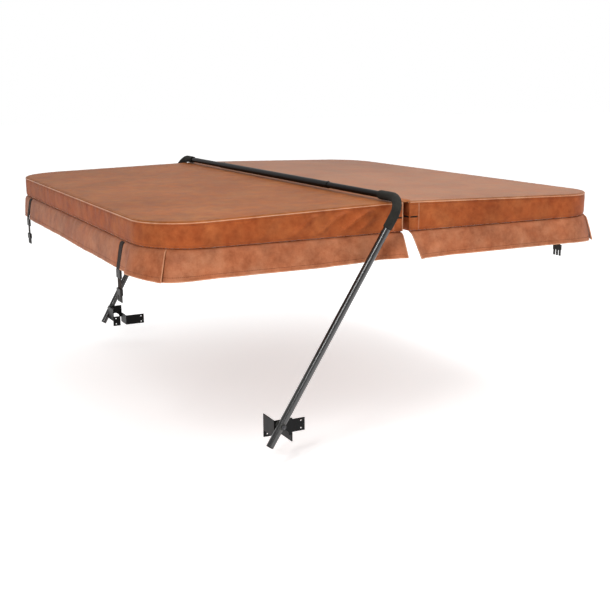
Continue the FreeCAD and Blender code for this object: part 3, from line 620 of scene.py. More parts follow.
def band_swell(x, y, z, sign):
    """How far the band stands out of the flat, with loose folds and puckers along its seams."""
    top = roof(x)
    seed = 1.7 * sign
    low = 0.0022 * ripple(x, y, 0.5 * z, 0.21, seed) + 0.0014 * ripple(x, y, z, 0.075, seed + 5)
    fade = plateau(z, 0.002, 0.020, top - 0.026, top - 0.006)
    pucker = 0.0011 * ripple(x, y, 0.0, 0.021, seed + 9)
    edge = plateau(z, 0.004, 0.012, 0.014, 0.034)
    edge += plateau(z, top - 0.034, top - 0.018, top - 0.012, top - 0.0085)
    swell = (BAND_CROWN + low + drag(x, y, z, sign)) * fade + pucker * edge
    hinge_side = smooth(abs(x), HINGE_FACE + 0.002, HINGE_FACE + 0.012)
    swell *= 0.25 + 0.75 * hinge_side
    limit = 0.0140 - 0.0115 * near_bar(x)
    return min(max(swell, -0.0005), limit)


def in_zip(x):
    """1 where the zipper runs: over the hinge face and a little way along both sides."""
    return 1 - smooth(abs(x), HINGE_FACE + ZIP_WRAP - 0.002, HINGE_FACE + ZIP_WRAP)


# --- vinyl cover of a half ---


def inside(x, y):
    """How far inside the edge of its half a place lies."""
    return min(HALF_LONG - abs(x), HALF_WIDE - abs(y), abs(x) - HINGE_FACE)


def top_height(x, y, sign):
    """The top's surface with a little slack in the vinyl."""
    seed = 4.3 * sign
    slack = 0.0013 * ripple(x, y, 0, 0.33, seed) + 0.0006 * ripple(x, y, 0, 0.11, seed + 3)
    inward = inside(x, y)
    pucker = 0.0008 * ripple(x, y, 0, 0.019, seed + 7) * (1 - smooth(inward, 0.006, 0.028))
    slack = (slack + 0.0008) * smooth(inward, 0.0, 0.08) + pucker * smooth(inward, 0.0, 0.006)
    slack *= 1 - near_bar(x)
    return roof(x) + max(slack, -0.0005)


def plan_rows(side, large, pitch):
    """Places across Y, closer together beside the large corners."""
    straight = side - large
    rows = steps(0, straight, pitch)
    rows += [straight + large * math.sin(math.radians(a)) for a in steps(0, 90, 4)[1:]]
    return [-row for row in reversed(rows[1:])] + rows


def corner_cut(past, radius):
    """How much a rounded corner takes off a row that lies a way past the corner's start."""
    return radius - math.sqrt(max(radius * radius - max(past, 0.0) ** 2, 0.0))


def plan_sheet(name, sign, inset, pitch, height, rim):
    """A sheet over the plan of a half, with its border carried over each (offset, drop) of the rim."""
    left, right, side = HINGE_FACE + inset, HALF_LONG - inset, HALF_WIDE - inset
    large, small = CORNER_ROUND - inset, max(HINGE_ROUND - inset, 0.0004)
    rows = plan_rows(side, large, pitch)
    columns = math.ceil((right - left) / pitch) + 1
    points, normals = [], []
    for y in rows:
        start = left + corner_cut(abs(y) - (side - small), small)
        end = right - corner_cut(abs(y) - (side - large), large)
        for j in range(columns):
            x = start + (end - start) * j / (columns - 1)
            points.append(Vector((sign * x, y, height(sign * x, y))))
    faces = [f if sign > 0 else tuple(reversed(f)) for f in grid_faces(len(rows), columns)]
    border = grid_border(len(rows), columns)
    for index in border:
        x, y = abs(points[index].x), points[index].y
        radius = large if x > (left + right) / 2 else small
        core_x = min(max(x, left + small), right - large)
        core_y = math.copysign(min(abs(y), side - radius), y)
        normals.append(Vector((sign * (x - core_x), y - core_y, 0)).normalized())
    before = border
    for offset, drop in rim:
        after = list(range(len(points), len(points) + len(border)))
        for index, normal in zip(border, normals):
            points.append(points[index] + normal * offset - Vector((0, 0, drop)))
        for k in range(len(border)):
            m = (k + 1) % len(border)
            face = (before[k], after[k], after[m], before[m])
            faces.append(face if sign > 0 else tuple(reversed(face)))
        before = after
    return new_piece(name, points, faces, 60)


def thicken(piece):
    """Gives an open sheet the vinyl's thickness, inwards."""
    modifier = piece.modifiers.new("thickness", "SOLIDIFY")
    modifier.thickness = VINYL
    modifier.offset = -1.0
    modifier.use_even_offset = True


def top_cover(half, sign):
    """The top panel: flat vinyl that turns down over the edge to the beaded seam."""
    rim = []
    for degrees in (18, 36, 54, 72, 90):
        turn = math.radians(degrees)
        rim.append((EDGE_ROUND * math.sin(turn), EDGE_ROUND * (1 - math.cos(turn))))
    rim.append((EDGE_ROUND - 0.0004, EDGE_ROUND + 0.0008))
    rim.append((EDGE_ROUND - SEAM_GROOVE, EDGE_ROUND + 0.0014))

    def height(x, y):
        return top_height(x, y, sign)

    piece = plan_sheet(f"{half}_top_cover", sign, EDGE_ROUND, TOP_PITCH, height, rim)
    thicken(piece)
    # The front half's top takes the paler copy of the top vinyl, a painted sheen.
    material = "top_vinyl" if sign < 0 else "paler_top_vinyl"
    finish_piece(piece, material, f"{half}_half", f"{half}_top_panel")


def seam_bead(half, sign):
    """The thin beaded seam between the top and the band."""
    path = []
    for place, _ in outline(sign, -0.0002):
        drop = EDGE_ROUND + 0.0018 + 0.0003 * ripple(place.x, place.y, 0, 0.03, 2.2)
        path.append(Vector((place.x, place.y, roof(place.x) - drop)))
    points = []
    for i, place in enumerate(path):
        ahead = (path[(i + 1) % len(path)] - path[i - 1]).normalized()
        across = ahead.cross(Vector((0, 0, 1))).normalized()
        points += ring(place, across, across.cross(ahead), lambda angle: BEAD, BEAD_SIDES)
    faces = grid_faces(len(path), BEAD_SIDES, wrap=True, loop=True)
    piece = new_piece(f"{half}_seam_bead", points, faces, 80)
    # The bead's pale vinyl is a painted highlight along the seam.
    finish_piece(piece, "bead_vinyl", f"{half}_half")


def band_levels(x):
    """Heights of the band's rows at a place along X, from the underside to the beaded seam."""
    top = roof(x) - BAND_TOP_GAP
    zip_low, zip_high = ZIP_RISE - ZIP_LIP - 0.002, ZIP_RISE + ZIP_LIP + 0.002
    levels = [BAND_ROLL * (1 - math.cos(math.radians(a))) for a in (8, 30, 50, 70)]
    levels += steps(BAND_ROLL, zip_low, 0.005)
    levels += [ZIP_RISE + d for d in (-0.0100, -0.0085, -0.0050, -0.0034, -0.0030, -0.0026)]
    levels += [ZIP_RISE + d for d in (0.0026, 0.0030, 0.0034, 0.0050, 0.0085, 0.0100)]
    levels += [zip_high + (top - zip_high) * i / 7 for i in range(8)]
    return levels + [top + 0.0010, top + 0.0016]


def band_cover(half, sign):
    """The side band: loose vinyl that rolls under at its foot, with lips along the zipper."""
    places = outline(sign)
    heights = [band_levels(place.x) for place, _ in places]
    rows = len(heights[0])
    grid = []
    for i in range(rows):
        line = []
        for (place, normal), levels in zip(places, heights):
            z = levels[i]
            swell = band_swell(place.x, place.y, z, sign)
            if z < BAND_ROLL:
                swell -= BAND_ROLL - math.sqrt(BAND_ROLL**2 - (BAND_ROLL - z) ** 2)
            if i >= rows - 2:
                swell -= SEAM_GROOVE * (0.3 if i == rows - 2 else 1.0)
            away = abs(z - ZIP_RISE)
            slot = (ZIP_SLOT - 0.0005, ZIP_SLOT + 0.0005)
            lip = plateau(away, *slot, ZIP_LIP - 0.001, ZIP_LIP + 0.001)
            sunk = 1 - smooth(away, *slot)
            share = in_zip(place.x)
            near_zip = share * (1 - smooth(away, ZIP_LIP, ZIP_LIP + 0.012))
            swell = swell * (1 - near_zip) + share * (ZIP_PROUD * lip - 0.0006 * sunk)
            line.append(off_edge(place, normal, z, swell))
        grid.append(line)
    grid.reverse()
    piece = shell(f"{half}_band_cover", grid, lambda i, j: VINYL, wrap=True)
    finish_piece(piece, "side_vinyl", f"{half}_half", f"{half}_side_band")


def underside_cover(half, sign):
    """The underside panel, a little slack where the foam doesn't press it."""

    def height(x, y):
        slack = 0.0012 + 0.0016 * ripple(x, y, 0, 0.26, sign * 6.1)
        return 0.0004 - max(slack, 0.0) * smooth(inside(x, y), 0.02, 0.12)

    rim = [(0.0008, -0.0002), (0.0014, -0.0006)]
    inset = BAND_ROLL + 0.0006
    piece = plan_sheet(f"{half}_underside_cover", sign, inset, UNDERSIDE_PITCH, height, rim)
    piece.data.flip_normals()
    thicken(piece)
    finish_piece(piece, "underside_vinyl", f"{half}_half", f"{half}_underside_panel")


def band_stitches(half, sign):
    """Top stitching below the beaded seam and above the underside seam."""
    rows = []
    for name in ("upper", "lower"):
        line = []
        for place, normal in outline(sign):
            z = roof(place.x) - UPPER_STITCH_DROP if name == "upper" else LOWER_STITCH_RISE
            out = band_swell(place.x, place.y, z, sign) + STITCH_LIFT
            line.append((off_edge(place, normal, z, out), normal.to_3d()))
        line.append(line[0])
        rows.append(stitches(f"{half}_{name}_stitches", line))
    piece = join_pieces(f"{half}_band_stitches", rows)
    finish_piece(piece, "brown_thread", f"{half}_half")


def top_stitches(half, sign):
    """Top stitching just inside the edge of the top."""
    line = []
    for place, _ in outline(sign, TOP_STITCH_INSET):
        z = top_height(place.x, place.y, sign) + STITCH_LIFT - 0.0007 * near_bar(place.x)
        line.append((Vector((place.x, place.y, z)), Vector((0, 0, 1))))
    line.append(line[0])
    piece = stitches(f"{half}_top_stitches", line)
    finish_piece(piece, "brown_thread", f"{half}_half")


# --- hinge and zipper ---

HINGE_LAP = 0.012
HINGE_LIFT = 0.0009
HINGE_END = HALF_WIDE - 0.006
HINGE_ROWS = (0.0035, 0.0085)
WELT = 0.0030


def hinge_cover():
    """The strip of vinyl that crosses the hinge and is sewn to both tops."""
    across = steps(-HINGE_FACE - HINGE_LAP, HINGE_FACE + HINGE_LAP, 0.0032)
    along = steps(-HINGE_END, HINGE_END, 0.010)
    grid = []
    for y in along:
        line = []
        for x in across:
            lift = HINGE_LIFT
            if abs(x) < HINGE_FACE:
                sag = 0.0016 * (1 - (x / HINGE_FACE) ** 2)
                lift -= sag + 0.0004 * ripple(x, y, 0, 0.035, 1.1)
            lift -= 0.004 * (1 - smooth(HINGE_END - abs(y), 0.0, 0.008))
            line.append(Vector((x, y, RIDGE + lift)))
        grid.append(line)
    piece = shell("hinge_cover", grid, lambda i, j: 0.0011)
    coat(piece, "top_vinyl")
    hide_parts("hinge_strip")
    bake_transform(piece)


def hinge_stitches(half, sign):
    """Two rows of stitches that hold the hinge strip to one top."""
    rows = []
    for number, inset in enumerate(HINGE_ROWS):
        line = []
        for y in steps(-HALF_WIDE + 0.014, HALF_WIDE - 0.014, 0.02):
            x = sign * (HINGE_FACE + inset)
            line.append((Vector((x, y, RIDGE + HINGE_LIFT + STITCH_LIFT)), Vector((0, 0, 1))))
        rows.append(stitches(f"{half}_hinge_row_{number}", line))
    piece = join_pieces(f"{half}_hinge_stitches", rows)
    finish_piece(piece, "brown_thread", f"{half}_half")


def from_gap(places, gap):
    """The same places, starting after the first step that is longer than the gap."""
    starts = [i for i in range(len(places)) if (places[i][0] - places[i - 1][0]).length > gap]
    return places[starts[0] :] + places[: starts[0]]


def zip_line(sign, out, pitch=0.006):
    """The zipper's route: along one side, over the hinge face and along the other side."""
    reach = HINGE_FACE + ZIP_WRAP - 0.003
    return from_gap([place for place in outline(sign, -out, pitch) if abs(place[0].x) <= reach], 0.2)


def zipper_piece(half, sign):
    """Zipper tape with two rows of interlocking teeth, sunk between the vinyl's lips."""
    tape_line = zip_line(sign, 0.0001)
    rows = []
    for rise in (ZIP_TAPE_HALF, 0.0, -ZIP_TAPE_HALF):
        rows.append([Vector((p.x, p.y, ZIP_RISE + rise)) for p, _ in tape_line])
    tape = shell(f"{half}_zip_tape", rows, lambda i, j: 0.0005)
    coat(tape, "zipper_tape")
    points, faces = [], []
    long, tall, deep = TOOTH_HALF
    quads = ((0, 1, 3, 2), (4, 6, 7, 5), (0, 4, 5, 1), (2, 3, 7, 6), (0, 2, 6, 4), (1, 5, 7, 3))
    for turn, (middle, ahead, out) in enumerate(walk(zip_line(sign, 0.0007), TOOTH_PITCH, 0.0)):
        rise = ZIP_RISE + (TOOTH_STAGGER if turn % 2 else -TOOTH_STAGGER)
        centre = Vector((middle.x, middle.y, rise))
        first = len(points)
        for a, b, c in product((-1, 1), repeat=3):
            taper = 0.75 if c > 0 else 1.0
            corner = ahead.to_3d() * a * long * taper + Vector((0, 0, b * tall * taper))
            points.append(centre + corner + out.to_3d() * c * deep)
        faces += [tuple(first + k for k in quad) for quad in quads]
    teeth = new_piece(f"{half}_zip_teeth", points, faces, 30)
    coat(teeth, "zipper_teeth")
    piece = join_pieces(f"{half}_zipper_run", [tape, teeth])
    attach(piece, f"{half}_half")
    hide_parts(f"{half}_zipper")


def hinge_welts(half, sign):
    """Rounded upright welts at the hinge face's two edges."""
    welts = []
    for side, turn in SIDES.items():
        path = []
        x = sign * (HINGE_FACE + 0.0022)
        y = turn * (HALF_WIDE - 0.0012)
        for z in steps(roof(x) - 0.004, 0.003, 0.004):
            wobble = 0.0004 * ripple(x, y, z, 0.03, 4.4)
            path.append(Vector((x + wobble, y, z)))
        welts.append(tube(f"{half}_{side}_welt", path, WELT, 10))
    piece = join_pieces(f"{half}_hinge_welts", welts)
    # On the rear half the welts take the pale vinyl, a painted highlight down the hinge edges; on the
    # front half they take the band's own vinyl.
    material = "bead_vinyl" if sign < 0 else "side_vinyl"
    finish_piece(piece, material, f"{half}_half")


def zip_end_seams(half, sign):
    """The upright bound seams where the zipper ends on both sides."""
    strips = []
    for side, turn in SIDES.items():
        x0 = sign * (HINGE_FACE + ZIP_WRAP)
        grid = []
        for z in steps(roof(x0) - 0.0095, 0.0065, 0.004):
            line = []
            for share in (-1.0, -0.9, -0.5, 0.0, 0.5, 0.9, 1.0):
                x = x0 + share * ZIP_SEAM_HALF
                tall = ZIP_SEAM_TALL * math.sqrt(max(1 - share**2, 0.0))
                out = band_swell(x, turn * HALF_WIDE, z, sign) + tall
                line.append(Vector((x, turn * (HALF_WIDE + out), z)))
            grid.append(line if turn < 0 else list(reversed(line)))
        strips.append(shell(f"{half}_{side}_zip_end", grid, lambda i, j: 0.0009))
    piece = join_pieces(f"{half}_zip_end_seams", strips)
    # The paler skirt vinyl on these seams is a painted highlight along their ridges.
    finish_piece(piece, "skirt_vinyl", f"{half}_half")


# --- skirt flaps ---


def skirt_out(depth):
    """How far a flap stands out of the cover's edge at a depth below the rim."""
    depth = max(depth, 0.0)
    shoulder = SKIRT_SHOULDER * (1 - math.exp(-depth / 0.0048))
    return shoulder - SKIRT_SEAM_INSET + SKIRT_SPREAD * (depth / SKIRT_HEM) ** 1.05


def corner_turn(place, normal):
    """How far round its corner a place on the edge is: 0 at the end face, 90 degrees at the side."""
    if abs(place.x) < HALF_LONG - CORNER_ROUND - 1e-6:
        return math.pi / 2
    return math.atan2(abs(normal.y), abs(normal.x))


def flap_places(sign, kind, turn):
    """The stretch of the cover's edge that one flap hangs from."""
    start = STRAP_PLACE + STRAP_SLOT / 2 - FLAP_TUCK
    kept = []
    for place, normal in outline(sign, 0.0, 0.007):
        x, y = abs(place.x), place.y
        swept = corner_turn(place, normal)
        if kind == "side":
            keep = turn * y > 0 and x >= SKIRT_END_GAP and abs(y) > HALF_WIDE - CORNER_ROUND
            keep = keep and swept >= math.pi / 2 - SIDE_FLAP_SWEEP - 1e-6
        elif kind == "corner":
            keep = turn * y > start and swept <= CORNER_FLAP_SWEEP + 1e-6
        else:
            keep = abs(y) < STRAP_PLACE - STRAP_SLOT / 2 + FLAP_TUCK and x > HALF_LONG - 0.001
        if keep:
            kept.append((place, normal))
    return from_gap(kept, 0.05)


def extra_flare(x, y, swept):
    """Where a flap stands out more or less than its pattern does."""
    if abs(y) < HALF_WIDE - CORNER_ROUND:
        return 0.0
    beside_arm = plateau(x, -0.36, -0.28, -0.15, -0.06) if x < 0 else 0.0
    hinge = 1 - smooth(abs(x), 0.05, 0.30)
    corner = math.exp(-(((swept - CORNER_PEAK) / math.radians(22)) ** 2))
    loose = 0.018 * max(hinge, 0.6 if x < 0 else 0.35) + (0.012 if x < 0 else 0.002) * corner
    return loose * (1 - beside_arm) * (1 - limp(x, y))


def limp(x, y):
    """1 at the far rear corner, where the skirt hangs straight down, and 0 elsewhere."""
    return smooth(y, HALF_WIDE - CORNER_ROUND - 0.10, HALF_WIDE - CORNER_ROUND) * smooth(-x, 0.3, 0.5)


def flap_lift(place, normal, depth, seed):
    """Loose waves of a flap, which grow towards its hem."""
    x, y = place.x, place.y
    low = depth / SKIRT_HEM
    wave = 0.0050 * ripple(x, y, 0, 0.27, seed) + 0.0026 * ripple(x, y, 0.4 * depth, 0.09, seed + 4)
    belly = 0.0034 * math.sin(math.pi * low) * (0.6 + 0.8 * ripple(x, y, 0, 0.31, seed + 8))
    near_seam = plateau(depth, 0.003, 0.008, 0.012, 0.036)
    pucker = 0.0016 * ripple(x, y, 0, 0.024, seed + 2) * near_seam
    near_hem = smooth(depth, SKIRT_HEM - 0.034, SKIRT_HEM - 0.014)
    hem = 0.0011 * ripple(x, y, 0, 0.030, seed + 6) * near_hem
    lift = wave * low + belly + pucker + hem
    lift += extra_flare(x, y, corner_turn(place, normal)) * low**1.3
    if x < 0 and abs(y) > HALF_WIDE - 0.01:
        held = plateau(x, -0.38, -0.30, -0.13, -0.08)
        lift = lift * (1 - 0.9 * held) - 0.001 * held * low
    return lift


def hinge_cut(place, sign):
    """How far a flap's hem is cut back from the hinge. The front half's is cut the most."""
    near_hinge = 1 - smooth(abs(place.x), 0.02, 0.20)
    return near_hinge * (0.020 if sign > 0 else -0.002)


def hem_sag(place, normal, sign):
    """How much lower than its pattern the hem hangs: it drops at the corners and lifts at the hinge."""
    if abs(place.x) < HALF_LONG - CORNER_ROUND:
        return -0.009 * (1 - smooth(abs(place.x), 0.03, 0.30)) if sign < 0 else 0.0
    away = corner_turn(place, normal) - CORNER_PEAK
    return 0.008 * math.exp(-((away / math.radians(24)) ** 2))


def flap_end(travelled, low, curled, tuck):
    """What one end of a flap does: it turns out, or it tucks in behind its neighbour or its strap."""
    if curled:
        return (0.0020 + 0.0085 * low) * (1 - smooth(travelled, 0.0, 0.035))
    return -FLAP_SINK * (1 - smooth(travelled, tuck - 0.004, tuck + 0.004))


def edging(name, half, grid, free):
    """The thin turned edge along a flap's hem and up its free ends."""
    path = [line[0] for line in grid[4:-1]] if free[0] else []
    path += grid[-1]
    path += [line[-1] for line in reversed(grid[4:-1])] if free[1] else []
    drop = Vector((0, 0, 0.0004))
    piece = tube(f"{name}_edging", [point - drop for point in path], EDGING, 8)
    # The edging's pale vinyl is a painted highlight along the turned edge.
    finish_piece(piece, "bead_vinyl", f"{half}_half")


def flap(half, sign, kind, part, turn, seed):
    """One skirt flap: double vinyl with a folded hem, from the seam to the flared edge."""
    name = f"{half}_{part}_flap"
    places = flap_places(sign, kind, turn)
    runs = [0.0]
    for (before, _), (place, _) in zip(places, places[1:]):
        runs.append(runs[-1] + (place - before).length)
    length = runs[-1]
    out_first = abs(places[0][0].x) > abs(places[-1][0].x)
    free = (False, False) if kind == "end" else (not out_first, out_first)
    tuck = CORNER_TUCK if kind == "side" else FLAP_TUCK
    depths = [-0.0006, -0.0002, 0.0002, 0.0010, 0.0020, 0.0034, 0.005, 0.0075, 0.0105, 0.014, 0.019]
    fold = SKIRT_HEM - HEM_TALL
    depths += steps(0.025, fold - 0.006, 0.008)
    depths += [fold - 0.0022, fold - 0.0009, fold, fold + 0.0009, fold + 0.0022, fold + 0.006]
    depths += [SKIRT_HEM - 0.003, SKIRT_HEM - 0.0012, SKIRT_HEM]
    insets = {-0.0006: 0.0035, -0.0002: 0.0018}
    grid = []
    for depth in depths:
        line = []
        low = max(depth, 0.0) / SKIRT_HEM
        for (place, normal), run in zip(places, runs):
            out = skirt_out(depth) - insets.get(depth, 0.0)
            out -= 0.7 * SKIRT_SPREAD * low * limp(place.x, place.y)
            out += flap_lift(place, normal, max(depth, 0.0), seed)
            rise = smooth(depth, -0.001, 0.009)
            out += rise * flap_end(run, low, free[0], tuck)
            out += rise * flap_end(length - run, low, free[1], tuck)
            out -= 0.0009 * math.exp(-(((depth - fold) / 0.0011) ** 2))
            out -= 0.0012 * smooth(depth, SKIRT_HEM - 0.0012, SKIRT_HEM)
            sag = hem_sag(place, normal, sign) * low
            level = -max(depth, 0.0) - 0.0004 - sag + (0.0004 if depth < 0 else 0.0)
            cut = hinge_cut(place, sign) * low
            line.append(off_edge(place + Vector((cut, 0)), normal, level, out))
        grid.append(line)
    last = len(depths) - 1

    def thickness(i, j):
        hem = smooth(depths[i], fold - 0.001, fold + 0.002)
        edge = max(1 - smooth(runs[j], 0, 0.012), smooth(runs[j], length - 0.012, length))
        thin = 0.4 if i < 3 else 1.0
        return (SKIRT_SKIN * thin + 0.0010 * hem + 0.0008 * edge) * (0.7 if i == last else 1.0)

    piece = shell(name, grid, thickness)
    finish_piece(piece, "skirt_vinyl", f"{half}_half", f"{half}_{part}_skirt")
    edging(name, half, grid, free)
    normals = grid_normals(grid)
    row = depths.index(fold)
    line = [(p - n * 0.0004, -n) for p, n in zip(grid[row], normals[row])]
    sewn = stitches(f"{name}_stitches", line[1:-1])
    finish_piece(sewn, "brown_thread", f"{half}_half")


def skirts(half, sign):
    """The five flaps of a half."""
    seed = 11.0 if sign < 0 else 37.0
    flap(half, sign, "end", "end", 0, seed)
    for side, turn in SIDES.items():
        shift = 5.3 if turn < 0 else 10.6
        flap(half, sign, "side", side, turn, seed + shift)
        flap(half, sign, "corner", f"{side}_corner", turn, seed + 2.1 * shift)


# --- tie-down straps ---


def strap_line():
    """Centre of the two plies from the seam to the buckle as (out, height) pairs."""
    hem_out = SKIRT_FLARE - 0.0018
    line = [(skirt_out(d) + STRAP_PLY, -d) for d in steps(STRAP_START, SKIRT_HEM, 0.006)]
    last_out = line[-1][0]
    for z in steps(-SKIRT_HEM, -STRAP_END + 0.003, 0.006)[1:]:
        share = (z + SKIRT_HEM) / (SKIRT_HEM - STRAP_END)
        line.append((last_out + (hem_out - last_out) * smooth(share, 0, 0.4), z))
    return line


def strap_piece(half, sign, side):
    """Webbing that runs down, turns round the buckle's bar and comes back up behind itself."""
    turn = SIDES[side]
    middle = strap_line()
    gap = STRAP_PLY * 0.5 + 0.0001
    loop = [(out + gap, z) for out, z in middle]
    end_out, end_z = middle[-1]
    for degrees in (30, 60, 90, 120, 150):
        angle = math.radians(degrees)
        loop.append((end_out + gap * math.cos(angle), end_z - gap * math.sin(angle)))
    loop += [(out - gap, z) for out, z in reversed(middle)]
    widths = [-1.0, -0.96, -0.88, -0.6, -0.3, 0.0, 0.3, 0.6, 0.88, 0.96, 1.0]
    grid = []
    for out, z in loop:
        line = []
        for w in widths:
            y = turn * STRAP_PLACE + w * STRAP_WIDE / 2
            edge = 0.00035 * smooth(abs(w), 0.86, 1.0)
            bow = 0.0007 * w * ripple(0, z, turn, 0.06, 3.3)
            line.append(Vector((sign * (HALF_LONG + out + bow - edge), y, z)))
        grid.append(list(reversed(line)) if sign < 0 else line)
    piece = shell(f"{half}_{side}_webbing", grid, lambda i, j: 0.9 * STRAP_PLY)
    finish_piece(piece, "strap_webbing", f"{half}_{side}_tie", f"{half}_{side}_strap")


# --- lifter ---


def sleeve_path(turn):
    """The sleeve's axis: along the crossbar, round the bend and down the arm."""
    corner = Vector((BAR_AXIS.x, turn * ELBOW_OUT, BAR_AXIS.z))
    pivot = Vector((PIVOT.x, turn * PIVOT_OUT, PIVOT.z))
    down = (pivot - corner).normalized()
    inward = Vector((0, -turn, 0))
    between = inward.angle(down)
    tangent = BEND_RADIUS / math.tan(between / 2)
    on_bar = corner + inward * tangent
    on_arm = corner + down * tangent
    centre = corner + (inward + down).normalized() * (BEND_RADIUS / math.sin(between / 2))
    start = Vector((BAR_AXIS.x, turn * SLEEVE_INNER, BAR_AXIS.z))
    finish = corner + down * SLEEVE_DROP
    path = [start.lerp(on_bar, i / 14) for i in range(14)]
    first, last = on_bar - centre, on_arm - centre
    sweep = first.angle(last)
    axis = first.cross(last).normalized()
    for i in range(25):
        path.append(centre + Quaternion(axis, sweep * i / 24) @ first)
    path += [on_arm.lerp(finish, i / 6) for i in range(1, 7)]
    return path


def sleeve_piece(side, turn):
    """Foam sleeve with soft ends, slightly uneven where it is bent."""
    path = sections(sleeve_path(turn))
    last = len(path) - 1
    bore = TUBE_RADIUS + 0.0003

    def outside(i, angle):
        bend = plateau(i, 12, 18, 34, 40)
        lumps = 0.00035 * ripple(3 * math.cos(angle), 3 * math.sin(angle), 0.6 * i, 1.6, turn * 2.0)
        creases = 0.00045 * bend * math.sin(2.1 * i) * max(0.0, -math.cos(angle))
        return SLEEVE_RADIUS - 0.0004 + lumps + creases

    # How far inside the sleeve's end each ring of its rounded mouth lies, and the ring's radius.
    mouth = (
        (0.0010, bore),
        (0.0002, bore + 0.0012),
        (0.0, SLEEVE_RADIUS - 0.0022),
        (0.0005, SLEEVE_RADIUS - 0.0010),
    )
    rings = [(path[0], shift, lambda angle, r=r: r) for shift, r in mouth]
    rings += [(path[i], 0.0, lambda angle, i=i: outside(i, angle)) for i in range(1, last)]
    rings += [(path[last], -shift, lambda angle, r=r: r) for shift, r in reversed(mouth)]
    rings += [(path[i], 0.0, lambda angle: bore) for i in range(last - 1, 0, -1)]
    points = []
    for (place, ahead, across, other), shift, radius in rings:
        points += ring(place + ahead * shift, across, other, radius, SLEEVE_SIDES)
    faces = grid_faces(len(rings), SLEEVE_SIDES, wrap=True, loop=True)
    piece = new_piece(f"{side}_sleeve_foam", points, faces, 45)
    finish_piece(piece, "sleeve_foam", "lifter", f"{side}_foam_sleeve")


def soften_edges(node, width):
    """Rounds the sharp edges of a carried-over node."""
    piece = frame["nodes"][node]
    weld = piece.modifiers.new("weld", "WELD")
    weld.merge_threshold = 0.00002
    bevel = piece.modifiers.new("soft_edges", "BEVEL")
    bevel.width = width
    bevel.segments = 2
    bevel.limit_method = "ANGLE"
    bevel.angle_limit = math.radians(35)
    bevel.harden_normals = True


def dress(node, material, edge):
    """Gives a carried-over node its material, and softens its edges unless their width is 0."""
    coat(frame["nodes"][node], material)
    if edge:
        soften_edges(node, edge)


# The nodes that keep their own shape: what follows the half, side or both in their names, their
# material and how wide their edges are softened.
HALF_NODES = (
    ("foam_core", "bead_foam", 0),
    ("hinge_channel", "galvanised", 0),
    ("zipper_slider", "zipper_brass", 0.0006),
)
TIE_NODES = (
    ("strap_adjuster", "buckle_plastic", 0.0012),
    ("strap_buckle", "buckle_plastic", 0.0012),
)
SIDE_NODES = (
    ("lower_arm", "coated_tube", 0),
    ("elbow_tube", "rubbed_tube", 0),
    ("arm_cap", "cap_plastic", 0.0010),
    ("pivot_bush", "bush_nylon", 0),
    ("pivot_washers", "bush_nylon", 0),
    ("bracket", "bracket_steel", 0.0009),
    ("pivot_bolt", "black_zinc", 0.0008),
    ("pivot_nut", "black_zinc", 0.0008),
)


def dress_hardware():
    """Materials and soft edges of the nodes that keep their own shape."""
    groups = [(half, HALF_NODES) for half in HALVES]
    groups += [(f"{half}_{side}", TIE_NODES) for half in HALVES for side in SIDES]
    groups += [(side, SIDE_NODES) for side in SIDES]
    for start, nodes in groups:
        for name, material, edge in nodes:
            dress(f"{start}_{name}", material, edge)
    dress("crossbar", "rubbed_tube", 0)
    dress("lock_screws", "black_zinc", 0.0006)


# --- making ---


def build_cover():
    """Both halves and the strip between them."""
    for half, sign in HALVES.items():
        top_cover(half, sign)
        seam_bead(half, sign)
        band_cover(half, sign)
        underside_cover(half, sign)
        band_stitches(half, sign)
        top_stitches(half, sign)
        zipper_piece(half, sign)
        zip_end_seams(half, sign)
        hinge_welts(half, sign)
        skirts(half, sign)
        hinge_stitches(half, sign)
        for side in SIDES:
            strap_piece(half, sign, side)
    hinge_cover()


# --- stage, light and camera ---

FLOOR = -0.85
FLOOR_HALF = 30.0


def put_item(name, data, place, turn):
    """A camera or a lamp in its place."""
    item = bpy.data.objects.new(name, data)
    item.location = place
    item.rotation_mode = "QUATERNION"
    item.rotation_quaternion = turn
    bpy.context.scene.collection.objects.link(item)
    return item


def make_camera():
    """A view from the near side of the rear end, a little above the rim."""
    camera = bpy.data.cameras.new("camera")
    camera.lens = 58.19
    camera.sensor_width = 36.0
    turn = Quaternion((0, 0, 1), math.radians(-27.12))
    tilt = Quaternion((1, 0, 0), math.radians(77.21))
    roll = Quaternion((0, 0, 1), math.radians(-0.29))
    place = (-2.0194, -4.1793, 0.5546)
    bpy.context.scene.camera = put_item("camera", camera, place, turn @ tilt @ roll)


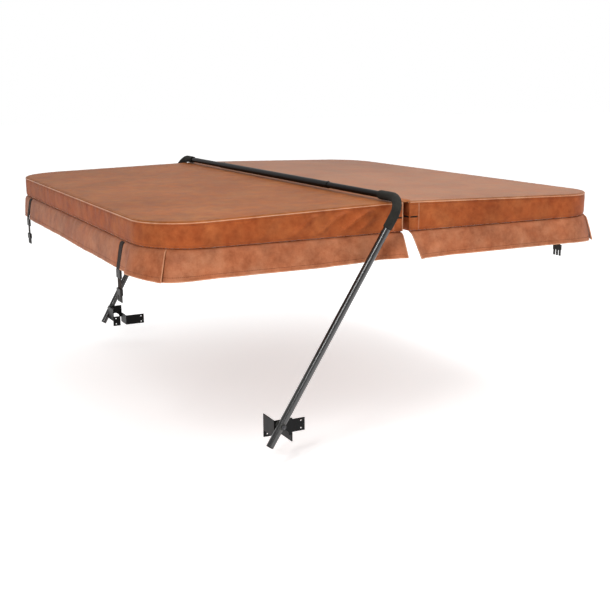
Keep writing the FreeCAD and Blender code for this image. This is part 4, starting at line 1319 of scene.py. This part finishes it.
def make_floor():
    """A wide white floor that gives off a little light of its own."""
    ends = (-FLOOR_HALF, FLOOR_HALF)
    corners = [(x, y, FLOOR) for x, y in product(ends, ends)]
    floor = new_piece("floor", corners, [(0, 2, 3, 1)])
    skin = Surface("floor", Roughness=0.9, Specular_IOR_Level=0.1, Base_Color=(0.93, 0.93, 0.93, 1))
    skin.set(Emission_Color=WHITE, Emission_Strength=0.42)
    floor.data.materials.append(skin.material)


def softbox(name, place, aim, wide, tall, power):
    """A rectangular lamp that points from its place at its aim."""
    lamp = bpy.data.lights.new(name, "AREA")
    lamp.shape = "RECTANGLE"
    lamp.size = wide
    lamp.size_y = tall
    lamp.energy = power
    put_item(name, lamp, place, (Vector(aim) - Vector(place)).to_track_quat("-Z", "Y"))


def make_world():
    """A pale studio, white beyond the front and far sides and dimmer on the near and rear ones."""
    world = bpy.data.worlds.new("studio")
    world.use_nodes = True
    tree = world.node_tree
    place = add_node(tree, "TexCoord", {})
    toward = {0: place.outputs["Generated"], 1: (0.6, 0.8, 0.0)}
    beyond = add_node(tree, "VectorMath", toward, operation="DOT_PRODUCT").outputs["Value"]
    limits = {"From Min": -0.35, "From Max": 0.30, "To Min": 0.38, "To Max": 1.0, "Value": beyond}
    spread = add_node(tree, "MapRange", limits, interpolation_type="SMOOTHSTEP")
    background = tree.nodes["Background"]
    fill(tree, background.inputs["Color"], WHITE)
    fill(tree, background.inputs["Strength"], spread.outputs["Result"])
    bpy.context.scene.world = world


def make_light():
    """Four softboxes: above, in front, a tall strip behind the rear end, and one for the floor."""
    softbox("overhead", (0.9, -0.9, 3.3), (0.1, -0.1, 0), 2.6, 2.0, 90)
    softbox("key", (2.9, -4.6, 1.8), (0.3, -0.6, 0), 1.6, 1.4, 36)
    softbox("strip", (-3.0, -3.1, 1.95), (-0.3, -1.1, -0.2), 0.44, 2.6, 84)
    softbox("floor_fill", (0.0, -3.0, 3.2), (0.0, -2.4, FLOOR), 5.0, 2.0, 25)
    bpy.context.scene.view_settings.view_transform = "Standard"


make_camera()
make_floor()
make_world()
make_light()
build_cover()
for side_name, side_turn in SIDES.items():
    sleeve_piece(side_name, side_turn)
dress_hardware()
